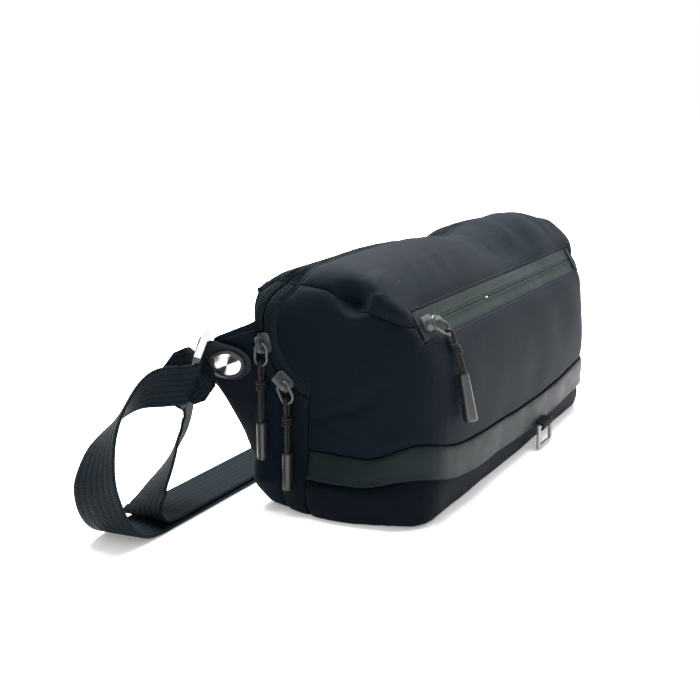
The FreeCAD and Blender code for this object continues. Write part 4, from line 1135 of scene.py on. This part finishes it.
@dataclass
class FrontZip:
    """The coated zip on the slope above the front panel, with the stitching round its window."""

    form: BagForm
    pitch: float = 2.7
    stitch_off: float = 1.7

    def base(self, s: Array, v: Array) -> Array:
        """Points of the plain form s along the window from its left end and v up the slope."""
        middle, up, _ = self.form.slope_axes()
        p = middle + v[..., None] * up + (s - self.form.window_half)[..., None] * np.array([1.0, 0, 0])
        return self.form.settle(p, 3)

    def sewing(self) -> Shape:
        """Stitches all round the window, just outside its edge."""
        long, high = 2 * self.form.window_half, 8.0
        off = self.stitch_off
        along = np.arange(1.5, long - 1, self.pitch)
        shapes = []
        for v in (-high - off, high + off):
            points = self.base(along, np.full(len(along), v))
            shapes.append((points, np.gradient(points, axis=0)))
        up = np.arange(-high, high, self.pitch)
        for s in (-off, long + off):
            points = self.base(np.full(len(up), s), up)
            shapes.append((points, np.gradient(points, axis=0)))
        points, ways = (np.concatenate(v) for v in zip(*shapes))
        normals = self.form.normals(points)
        rise = self.form.relief(points) - 0.12
        return stitches(points + rise[:, None] * normals, ways, normals)

    def build(self) -> list[bpy.types.Object]:
        """Both tapes and the sewing, on the flap."""
        tape = ZipTape(self.form, coil_to=2.6, coil_rise=0.22, rib=0.10, sunk=0.75, inner=0.25)
        made = []
        for name, side in (("upper", 1), ("lower", -1)):
            piece = tape.ribbon(f"front_zip_tape_{name}", self.base, 2 * self.form.window_half, side, 8.0, 0.42,
                                ZIP_FILM)
            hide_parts(f"front_zip_tape_{name}", f"front_zip_coil_{name}")
            made.append(piece)
        made.append(make("front_zip_stitching", self.sewing(), THREAD_PLAIN))
        for piece in made:
            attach(piece, "front_flap")
        return made


# ---- pulls ----------------------------------------------------------------------------------
@dataclass
class Pull:
    """A pull: a doubled cord looped through a ring, a whipping round its strands, and a moulded end."""

    name: str
    body: str
    foot: Array
    hang: Array
    side: Array
    drop: float
    sway: float
    radii: tuple[float, float]
    long: float
    cord: float = 2.0
    loop: float = 2.35
    strand: float = 1.05
    pinch: float = 1.2

    def sway_at(self, d: float) -> float:
        """How far the cord stands off its straight line, d along it."""
        return self.sway * (1 - (1 - max(d - self.loop, 0) / (self.drop - self.loop)) ** 2)

    def at(self, d: float, across: float = 0.0) -> Array:
        """A point d below the ring's wire and across from the cord's line."""
        return self.foot + self.side * (across + self.sway_at(d)) + self.hang * d

    def route(self) -> Array:
        """The cord's points: up from the end, round the wire, and down again."""
        end, low, high = self.drop - 0.15, self.drop * 0.62, self.drop * 0.3
        half = [(-self.strand, end), (-self.pinch - 0.1, low), (-self.pinch, high), (-self.loop, -self.loop)]
        return np.array([self.at(d, a) for a, d in half + [(-a, d) for a, d in half[::-1]]])

    def curve(self) -> bpy.types.Object:
        """The cord as one smooth curve with a round section."""
        data = bpy.data.curves.new(f"{self.name}_cord", "CURVE")
        data.dimensions, data.bevel_depth = "3D", self.cord / 2 * MM
        data.bevel_resolution, data.resolution_u = 4, 16
        spline = data.splines.new("NURBS")
        points = self.route() * MM
        spline.points.add(len(points) - 1)
        spline.points.foreach_set("co", np.c_[points, np.ones(len(points))].ravel())
        spline.order_u = 3
        spline.use_endpoint_u = True
        data.use_fill_caps = True
        data.materials.append(CORD.material())
        piece = bpy.data.objects.new(f"{MADE}{self.name}_cord", data)
        bpy.context.scene.collection.objects.link(piece)
        return piece

    def whipping(self) -> Shape:
        """Turns of cord round both strands: a tube of radius r along an oval helix."""
        t = np.linspace(0, 1, 90)
        angle = t * TURN * 3.2
        start = self.drop * 0.3 - 1.0
        other = np.cross(self.hang, self.side)
        centre = np.array([self.at(start + 4.6 * s) for s in t])
        path = (centre + 2.55 * np.cos(angle)[:, None] * self.side + 1.75 * np.sin(angle)[:, None] * other)
        ring = np.arange(8) / 8 * TURN
        return outward(tube_shape(sweep(path, np.broadcast_to(self.hang, path.shape),
                                        0.85 * np.stack([np.cos(ring), np.sin(ring)], axis=-1))))

    def moulding(self) -> Shape:
        """The moulded end: a soft square tube, a little crowned, with a lip at each end."""
        a, b, n = *self.radii, self.long
        profile = [(0, 0.9), (a * 0.55, 0.9), (a * 0.62, 0.15), (a * 0.86, 0.0), (a * 0.98, 0.5), (a, 1.4),
                   (a * 1.0 + (b - a) * 0.3, n * 0.3), (a + (b - a) * 0.65, n * 0.65), (b, n - 1.6), (b * 0.99, n - 0.7),
                   (b * 0.9, n - 0.1), (b * 0.78, n), (b * 0.70, n - 0.5), (0, n - 0.7)]
        return lathe(np.array(profile), self.at(self.drop), self.hang, 40, 0.10)

    def build(self) -> list[bpy.types.Object]:
        """The cord, its whipping and its end, riding on the pull's body."""
        cord = self.curve()
        knot = make(f"{self.name}_whipping", self.whipping(), CORD)
        end = make(f"{self.name}_pull_end", self.moulding(), PULL_PLASTIC)
        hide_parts(f"{self.name}_cord")
        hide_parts(f"{self.name}_pull_end")
        for piece in (cord, knot, end):
            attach(piece, self.body)
        points = self.route()
        return [cord, knot, end]


def pulls() -> list[Pull]:
    """The three pulls, placed where their rings hang."""
    down, left = np.array([0, 0, -1.0]), np.array([-1.0, 0, 0])
    slope_out = np.array([0, -0.858939, 0.512079])
    front_down = unit(np.array([0.06, -0.17, -1.0]))
    front_side = unit(slope_out - front_down * float(front_down @ slope_out))
    return [
        Pull("upper", "upper_zip_pull", np.array([-151.65, 43.077, 80.402]), down, left, 31, 0, (2.8, 2.8), 20.5),
        Pull("lower", "lower_zip_pull", np.array([-151.65, 27.781, 61.667]), down, left, 27, 0, (2.8, 2.8), 20.5),
        Pull("front", "front_zip_pull", np.array([-112.705, -47.042, 98.219]), front_down, front_side, 21, 4.2,
             (2.9, 3.9), 26),
    ]


# ---- wings, tab, rivet ----------------------------------------------------------------------
TAB_BAR = np.array([-164.5, 72.5, 86.0])
BAR_WAY = unit(np.array([0.304, 0.502, -0.834]))
TAB_FACE = unit(np.array([-0.80, -0.31, -0.48]))
TAB_WAY = unit(np.cross(TAB_FACE, BAR_WAY))
BUCKLE_WAY = unit(np.array([-0.832, -0.250, -0.450]))
FAR_BAR = TAB_BAR + BUCKLE_WAY * 21


def on_tab(along: float, across: float, out: float) -> Array:
    """A point given along the tab from its bar, across it, and out of its face."""
    return TAB_BAR + TAB_WAY * along + BAR_WAY * across + TAB_FACE * out


def mirrored(shape: Shape) -> Shape:
    """The shape on the other end of the bag."""
    points, tris = shape
    return points * np.array([-1.0, 1, 1]), tris[:, ::-1]


@dataclass
class Wing:
    """A padded wing of cloth from the bag's back corner to the tab, and its topstitching."""

    form: BagForm
    thick: float = 4.0
    root_low: float = 8.0
    root_high: float = 104.0

    def frames(self, s: Array) -> tuple[Array, Array, Array]:
        """Tip, middle and root points for shares s across the wing, from its top edge (-1) to its low edge (1)."""
        back = -(0.8 + 0.3 + self.thick / 2)
        tip = on_tab(4.5, 1, back) + s[:, None] * BAR_WAY * 12.5
        lean = unit(BAR_WAY + np.array([0, 0, -0.3]))
        middle = on_tab(18.5, 3, back - 1.5) + s[:, None] * lean * 24
        z = (self.root_low + self.root_high) / 2 - s * (self.root_high - self.root_low) / 2
        reach = np.sqrt(np.maximum(45.5**2 - (z - self.form.zip_z) ** 2, 0))
        y = np.maximum(45.5, self.form.zip_y + reach)
        root = self.form.settle(np.stack([np.full(len(s), -146.0), y, z], axis=-1), 8)
        return tip, middle, root - 2.0 * self.form.normals(root)

    def surface(self, t: Array, s: Array) -> Array:
        """The wing's middle surface: for each s a parabola by its tip, middle and root points, t from 0 to 1."""
        tip, middle, root = self.frames(s)
        m = 0.36
        t = t[:, None, None]
        return (tip * (t - m) * (t - 1) / m + middle * t * (t - 1) / (m * (m - 1)) + root * t * (t - m) / (1 - m))

    def pad(self) -> Shape:
        """The wing's closed skin: round its edge, the section is a flat oval |s|^8 + |h|^2.4 = 1."""
        rows, cols = 70, 96
        t = np.linspace(0, 1, rows)
        angle = np.arange(cols) / cols * TURN
        s = np.sign(np.cos(angle)) * np.abs(np.cos(angle)) ** 0.5
        h = np.sign(np.sin(angle)) * np.abs(np.sin(angle)) ** 0.8
        middle = self.surface(t, s)
        run, wide = np.gradient(middle, axis=0), self.surface(t, s + 0.01) - self.surface(t, s - 0.01)
        normal = unit(np.cross(wide, run))
        normal = normal * np.sign(dot(normal, TAB_FACE))[..., None]
        groove = 0.5 * bump(np.abs(s) - 0.86, 0.03) + 0.3 * np.exp(-t[:, None] * 40)
        soft = 0.5 * ripples(middle, 21, 42) + 0.28 * ripples(middle, 22, 17)
        tip = np.sqrt(np.clip(t / 0.05, 0.04, 1))[:, None]
        lift = h * (self.thick / 2 * tip * (1 + 0.12 * np.cos(s * math.pi / 2)) - groove)
        lift = lift + soft * ease(t, 0.12, 0.4)[:, None]
        return outward(tube_shape(middle + lift[..., None] * normal))

    def sewing(self) -> Shape:
        """Topstitches along both long edges, on the outer face."""
        parts = []
        for s in (-0.86, 0.86):
            t = np.linspace(0.03, 0.8, 34)
            row = np.array([s])
            points = self.surface(t, row)[:, 0]
            wide = self.surface(t, row + 0.01)[:, 0] - points
            ways = np.gradient(points, axis=0)
            normal = unit(np.cross(wide, ways))
            normal = normal * np.sign(dot(normal, TAB_FACE))[:, None]
            soft = 0.5 * ripples(points, 21, 42) + 0.28 * ripples(points, 22, 17)
            lift = self.thick / 2 - 0.25 + soft * ease(t, 0.12, 0.4)
            parts.append((points + lift[:, None] * normal, ways, normal))
        points, ways, normals = (np.concatenate(v) for v in zip(*parts))
        return stitches(points, ways, normals, 1.8, 0.5)

    def build(self) -> list[bpy.types.Object]:
        """Both wings and their sewing."""
        made = []
        for name, turn in (("left", lambda v: v), ("right", mirrored)):
            pad = make(f"{name}_wing", turn(self.pad()), WING_CLOTH, sharp=80)
            sewing = make(f"{name}_wing_stitching", turn(self.sewing()), THREAD_PLAIN)
            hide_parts(f"{name}_wing")
            made += [pad, sewing]
        for piece in made:
            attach(piece, "root")
        return made


@dataclass
class Tab:
    """The coated tab: one strip looped round the buckle's bar, with a round tip and a rivet."""

    wide: float = 24.0
    long: float = 28.0
    thick: float = 1.6
    rivet_at: float = 15.0

    def tongue(self, start: float) -> Shape:
        """The strip: a flat rounded section along the tongue and round the bar, narrowing to a round tip."""
        eye = 1.5 + 0.1 + self.thick / 2
        flat = np.linspace(self.long, 2.6, 46)
        path = [np.stack([flat, np.zeros(46)], axis=-1)]
        if start <= 0:
            a = np.linspace(0.35, TURN - 0.9, 46)
            path.append(np.stack([eye * np.cos(a), eye * np.sin(a)], axis=-1))
        path = evenly(np.concatenate(path), 0.6)
        points = TAB_BAR + path[:, :1] * TAB_WAY + path[:, 1:] * TAB_FACE
        from_tip = np.clip((self.long - path[:, 0]) / (self.wide / 2), 0.0, 1)
        width = self.wide / 2 * np.sqrt(np.maximum(1 - (1 - from_tip) ** 2, 0.004))
        angle = np.arange(28) / 28 * TURN
        u = np.sign(np.cos(angle)) * np.abs(np.cos(angle)) ** 0.35
        w = np.sign(np.sin(angle)) * np.abs(np.sin(angle)) ** 0.7
        edge = self.thick / 2 * np.where(np.abs(u) > 0.8, 0.9, 1.0)
        outline = np.stack([width[:, None] * u, np.broadcast_to(edge * w, (len(path), 28))], axis=-1)
        return outward(tube_shape(sweep(points, np.broadcast_to(BAR_WAY, points.shape), outline)))

    def sewing(self) -> Shape:
        """Topstitches round the tongue, 2 mm inside its edge."""
        half = self.wide / 2 - 2.0
        straight = np.arange(5.0, self.long - self.wide / 2, 2.2)
        a = np.linspace(-math.pi / 2, math.pi / 2, 15)
        along = np.r_[straight, self.long - self.wide / 2 + half * np.cos(a), straight[::-1]]
        across = np.r_[np.full(len(straight), -half), half * np.sin(a), np.full(len(straight), half)]
        points = TAB_BAR + along[:, None] * TAB_WAY + across[:, None] * BAR_WAY + (self.thick / 2) * TAB_FACE
        return stitches(points, np.gradient(points, axis=0), np.broadcast_to(TAB_FACE, points.shape), 1.5, 0.42)

    def disc(self) -> tuple[Shape, Array]:
        """The rivet's cap, slightly dished with a rolled edge, and a UV of angle and radius."""
        profile = np.array([(0.0, 2.15), (0.5, 2.15), (3.0, 2.17), (5.6, 2.22), (6.7, 2.28), (7.2, 2.24), (7.55, 2.0),
                            (7.65, 1.6), (7.6, 1.46), (0.0, 1.46)])
        count = 96
        shape = lathe(profile, on_tab(self.rivet_at, 0, 0), TAB_FACE, count)
        angle = np.tile(np.arange(count) / count, len(profile))
        radius = np.repeat(profile[:, 0], count)
        uv = np.concatenate([np.stack([angle, radius * MM], axis=-1), np.zeros((2, 2))])
        return shape, uv

    def build(self) -> list[bpy.types.Object]:
        """The tab, its sewing, its rivet, and the stitched patch on the right wing."""
        centre = on_tab(self.rivet_at, 0, 0)
        ring = np.array([(7.85, 0.85), (9.2, 0.85), (9.75, 1.1), (9.8, 1.6), (9.4, 2.2), (8.7, 2.55), (8.1, 2.5),
                         (7.85, 2.2), (7.85, 0.85)])
        shape, uv = self.disc()
        tab = make("buckle_tab", self.tongue(0), TAB_FILM)
        sewing = make("buckle_tab_stitching", self.sewing(), THREAD_PLAIN)
        hoop = make("rivet_ring", ring_of(ring, centre, TAB_FACE), BLACK_METAL, sharp=40)
        cap = make("rivet_cap", shape, BRIGHT_METAL, uv, sharp=40)
        patch = make("right_strap_patch", mirrored(self.tongue(2)), TAB_FILM)
        patch_sewing = make("right_patch_stitching", mirrored(self.sewing()), THREAD_PLAIN)
        for piece in (tab, hoop, cap, patch):
            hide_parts(own_node(piece))
        made = [tab, sewing, hoop, cap, patch, patch_sewing]
        for piece in made:
            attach(piece, "root")
        return made


def ring_of(profile: Array, origin: Array, axis: Array, count: int = 72) -> Shape:
    """A turned ring: a closed profile of radius and height carried round an axis."""
    axis = unit(axis)
    side = unit(np.cross(axis, [0.31, 0.2, 0.93]))
    other = np.cross(axis, side)
    angle = np.arange(count + 1) / count * TURN
    around = np.cos(angle)[:, None] * side + np.sin(angle)[:, None] * other
    points = origin + profile[None, :-1, :1] * around[:, None] + profile[None, :-1, 1:] * axis
    quads = grid_faces(count + 1, len(profile) - 1, True)
    tris = np.concatenate([quads[:, [0, 1, 2]], quads[:, [0, 2, 3]]])
    return outward(tidied(points.reshape(-1, 3), tris))


# ---- webbing --------------------------------------------------------------------------------
def strip_uv(path: Array, outline: Array, middle: float = 50.0) -> Array:
    """A webbing's UV map in metres: distance along its path, and across its outline from a fixed middle.

    Args:
        path: Points of the middle line.
        outline: The section at each of them.
        middle: Value of the middle line's own v.
    Returns:
        A pair per vertex, with the two closed ends' centres last.
    """
    run = np.r_[0, np.cumsum(np.linalg.norm(np.diff(path, axis=0), axis=1))]
    uv = np.stack(np.broadcast_arrays(run[:, None], outline[..., 0] + middle), axis=-1).reshape(-1, 2)
    return np.concatenate([uv, uv[:1], uv[-1:]]) * MM


@dataclass
class Webbing:
    """The strap: ribbed webbing from the right wing, along the floor, round the buckle and back to its tail."""

    wide: float = 30.0
    thick: float = 1.8
    floor: float = 1.2
    over: float = 3.7
    columns: int = 7
    groove: float = 0.28
    step: float = 1.25

    def route(self) -> tuple[Array, Array]:
        """Points of the strap's middle line and the way across it at each."""
        inward = np.array([12.0, -5.0, -3.5])
        inward = unit(inward - BAR_WAY * float(inward @ BAR_WAY))
        out = unit(np.cross(BAR_WAY, inward))
        out = -out if out[1] < 0 else out
        right = TAB_BAR * np.array([-1.0, 1, 1])
        right_out = TAB_WAY * np.array([1.0, -1, -1])
        bar_right = BAR_WAY * np.array([-1.0, 1, 1])
        flat = np.array([0, 1.0, 0])
        leave = FAR_BAR + inward * 2.4 + out * 3
        wrap = 2.7
        fall = [right - right_out * 1.8, right + right_out * 6, (178, 85, 83), (186, 87, 62), (186, 87, 38),
                (178, 86, 16), (162, 85, self.floor + 1.5), (140, 85, self.floor)]
        run = [(x, 85, self.floor) for x in (110, 60, 0, -60, -120, -170, -195)]
        curl = [(-205, 85, self.floor), (-222, 85, 4.5), (-234, 85, 17), (-239, 85, 34), (-234, 84, 52),
                (-221, 81, 67), (-205, 76, 76), FAR_BAR - inward * 9 - out * wrap]
        turn = [FAR_BAR - inward * 4 - out * wrap, FAR_BAR - out * wrap, FAR_BAR + (inward - out) * (wrap * 0.707),
                FAR_BAR + inward * wrap, FAR_BAR + inward * wrap + out * 1.5, leave]
        edge_on = np.array([0.87, 0.44, -0.2])
        twist = [leave + out * 1.5 + BAR_WAY * 1.5, leave + out * 3 + BAR_WAY * 5, (-169, 78, 70), (-164, 81, 62),
                 (-162, 82.5, 54)]
        back = [(-164, 83.5, 46), (-171, 84.5, 36.5), (-182, 85, 26), (-193, 86, 16), (-199, 86, 10), (-199, 86, 6.3),
                (-191, 86, self.over + 0.2), (-180, 86, self.over)]
        tail = [(x, 86, self.over) for x in (-160, -120, -60, 0, 50, 80, 103.5)]
        stretches = [(fall, bar_right, flat, 0.1, 1.0), (run, flat, flat, 0, 1), (curl, flat, BAR_WAY, 0.1, 0.9),
                     (turn, BAR_WAY, BAR_WAY, 0, 1), (twist, BAR_WAY, edge_on, 0, 0.45),
                     (back, edge_on, flat, 0.1, 0.8), (tail, flat, flat, 0, 1)]
        points, ways, way_weight = [], [], 0.01
        for stretch, first, last, start, end in stretches:
            share = np.clip((np.linspace(0, 1, len(stretch)) - start) / (end - start), 0, 1)[:, None]
            points.append(np.array([np.asarray(p, float) for p in stretch]))
            ways.append(first * (1 - share) + last * share)
        both = through(np.concatenate([np.concatenate(points), np.concatenate(ways) * way_weight], axis=1), self.step)
        return both[:, :3], unit(both[:, 3:])

    def outline(self, count: int) -> Array:
        """The webbing's section: two ribbed faces between round edges.

        Half the thickness is t/2 less groove (1 - |sin(pi columns u)|^0.5) over the face.
        """
        u = np.linspace(-1, 1, 57)
        rib = self.groove * (1 - np.abs(np.sin(np.pi * self.columns * (u + 1) / 2)) ** 0.4) * (np.abs(u) < 0.97)
        edge = np.sqrt(np.clip((1 - np.abs(u)) / 0.03, 0.12, 1))
        half = self.thick / 2 * edge - rib
        x = u * self.wide / 2
        top, low = np.stack([x, half], axis=-1), np.stack([x, -half], axis=-1)[::-1]
        return np.broadcast_to(np.concatenate([top, low]), (count, 114, 2))

    def build(self) -> list[bpy.types.Object]:
        """The whole strap as one length, and the sewn fold at its tail's end."""
        path, ways = self.route()
        sag = 0.25 * ripples(path, 31, 60)
        path = path + (sag * ease(path[:, 2], 6, 30))[:, None] * np.array([0, 1.0, 0])
        outline = self.outline(len(path))
        points = sweep(path, ways, outline)
        points[..., 2] = np.maximum(points[..., 2], 0.1)
        shape = outward(tube_shape(points))
        strap = make("webbing_strap", shape, WEB, strip_uv(path, outline))
        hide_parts("webbing_right_fall", "webbing_floor_run", "webbing_curl", "webbing_wrap",
                    "webbing_return_loop", "webbing_tail")
        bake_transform(strap)
        fold = self.fold()
        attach(fold, "root")
        return [strap, fold]

    def fold(self) -> bpy.types.Object:
        """The tail's end, folded back on itself and sewn: a U of webbing 24 mm long."""
        low, high = self.over, self.over + self.thick + 0.1
        flat = np.linspace(80.5, 102.5, 24)
        a = np.linspace(-math.pi / 2, math.pi / 2, 9)[1:-1]
        r = (high - low) / 2
        x = np.r_[103.0 + r * np.cos(a), flat[::-1]]
        z = np.r_[low + r + r * np.sin(a), np.full(24, high)]
        path = np.stack([x, np.full(len(x), 86.0), z], axis=-1)
        outline = self.outline(len(path))
        points = sweep(path, np.broadcast_to([0, 1.0, 0], path.shape), outline)
        shape = outward(tube_shape(points))
        piece = make("webbing_tail_fold", shape, WEB, strip_uv(path, outline))
        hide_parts("webbing_tail_fold")
        return piece


# ---- hook -----------------------------------------------------------------------------------
@dataclass
class HookStrap:
    """The short strap that holds the accessory hook: a fold of webbing round its wire, sewn under the band."""

    x: float = 30.0
    wide: float = 18.0
    y: float = -55.9
    z: float = 14.5
    inner: float = 1.4
    thick: float = 1.2

    def build(self) -> list[bpy.types.Object]:
        """The folded strap: its line runs from the bag, over the wire, round it and back."""
        r = self.inner + self.thick / 2
        a = np.linspace(math.pi / 2, math.pi * 1.5, 24)
        y = np.r_[-51.6, -53.5, self.y + r * np.cos(a), -53.5]
        z = np.r_[17.6, self.z + r + 0.3, self.z + r * np.sin(a), self.z - r + 0.4]
        path = evenly(np.stack([np.full(len(y), self.x), y, z], axis=-1), 0.35)
        u = np.linspace(-1, 1, 31)
        edge = np.sqrt(np.clip((1 - np.abs(u)) / 0.06, 0.1, 1))
        half = self.thick / 2 * edge - 0.08 * (1 - np.abs(np.sin(u * 12)))
        x = u * self.wide / 2
        outline = np.concatenate([np.stack([x, half], axis=-1), np.stack([x, -half], axis=-1)[::-1]])
        points = sweep(path, np.broadcast_to([1.0, 0, 0], path.shape), outline)
        uv = strip_uv(path, np.broadcast_to(outline, (len(path), *outline.shape)))
        piece = make("hook_strap", outward(tube_shape(points)), WEB, uv)
        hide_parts("hook_strap")
        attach(piece, "root")
        return [piece]


# ---- parts kept from the frame --------------------------------------------------------------
KEPT = {
    GUNMETAL: ["upper_slider", "upper_bridge", "upper_ring", "lower_slider", "lower_bridge", "lower_ring",
               "front_slider", "front_bridge", "front_ring", "strap_buckle"],
    BLACK_METAL: ["rivet_shank"],
    HOOK_METAL: ["hook_frame"],
    TAB_FILM: ["front_zip_end_patches"],
    LINING: ["front_pocket_bag", "slip_divider"],
}


def dress_kept() -> None:
    """Give every part that stays as it is its own finish."""
    for finish, names in KEPT.items():
        for name in names:
            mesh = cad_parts[name].data
            mesh.materials.clear()
            mesh.materials.append(finish.material())


# ---- studio ---------------------------------------------------------------------------------
@dataclass
class Studio:
    """The pale floor, the soft lights and the camera."""

    eye: tuple[float, float, float] = (-678.0, -274.0, 227.0)
    forward: tuple[float, float, float] = (0.871, 0.438, -0.22)
    lens: float = 61.7
    sensor: float = 36.0
    floor_half: float = 6000.0

    def camera(self) -> None:
        """A level camera that looks along the forward way."""
        data = bpy.data.cameras.new("camera")
        data.lens, data.sensor_width, data.clip_start, data.clip_end = self.lens, self.sensor, 0.01, 20
        ahead = Vector(self.forward).normalized()
        right = ahead.cross(Vector((0, 0, 1))).normalized()
        up = right.cross(ahead)
        camera = bpy.data.objects.new("camera", data)
        turn = Matrix((right, up, -ahead)).transposed().to_4x4()
        camera.matrix_world = Matrix.Translation(Vector(self.eye) * MM) @ turn
        bpy.context.scene.collection.objects.link(camera)
        bpy.context.scene.camera = camera

    def light(self, name: str, where: tuple[float, float, float], size: float, power: float) -> None:
        """A square soft light aimed at the bag."""
        data = bpy.data.lights.new(name, "AREA")
        data.size, data.energy = size, power
        light = bpy.data.objects.new(name, data)
        light.location = where
        light.rotation_euler = (Vector((0, 0, 0.07)) - Vector(where)).to_track_quat("-Z", "Y").to_euler()
        bpy.context.scene.collection.objects.link(light)

    def build(self) -> None:
        """Floor, world, lights and camera."""
        s, z = self.floor_half, -0.05
        corners = np.array([(-s, -s, z), (s, -s, z), (s, s, z), (-s, s, z)])
        floor = make("floor", (corners, np.array([[0, 1, 2, 3]])), PALE)
        world = bpy.data.worlds.new("studio")
        world.use_nodes = True
        world.node_tree.nodes["Background"].inputs["Color"].default_value = (1.0, 1.0, 1.0, 1)
        world.node_tree.nodes["Background"].inputs["Strength"].default_value = 1.0
        bpy.context.scene.world = world
        bpy.context.scene.view_settings.view_transform = "Standard"
        self.light("top_light", (0.25, 0.25, 1.3), 1.1, 95)
        self.light("far_light", (1.5, -0.5, 0.8), 0.8, 2)
        self.light("near_light", (-1.1, -1.0, 0.9), 0.8, 2)
        self.camera()


def main() -> None:
    """Build the studio, then each sub-assembly in order, and report every piece."""
    logging.basicConfig(level=logging.INFO, format="%(message)s")
    Studio().build()
    form = BagForm()
    made: list[bpy.types.Object] = []
    for pull in pulls():
        made += pull.build()
    for part in (Shell(form), MainZip(form), FrontZip(form), Wing(form), Tab(), Webbing(), HookStrap()):
        made += part.build()
    dress_kept()
    for piece in made:
        report(piece)


if __name__ == "__main__":
    main()
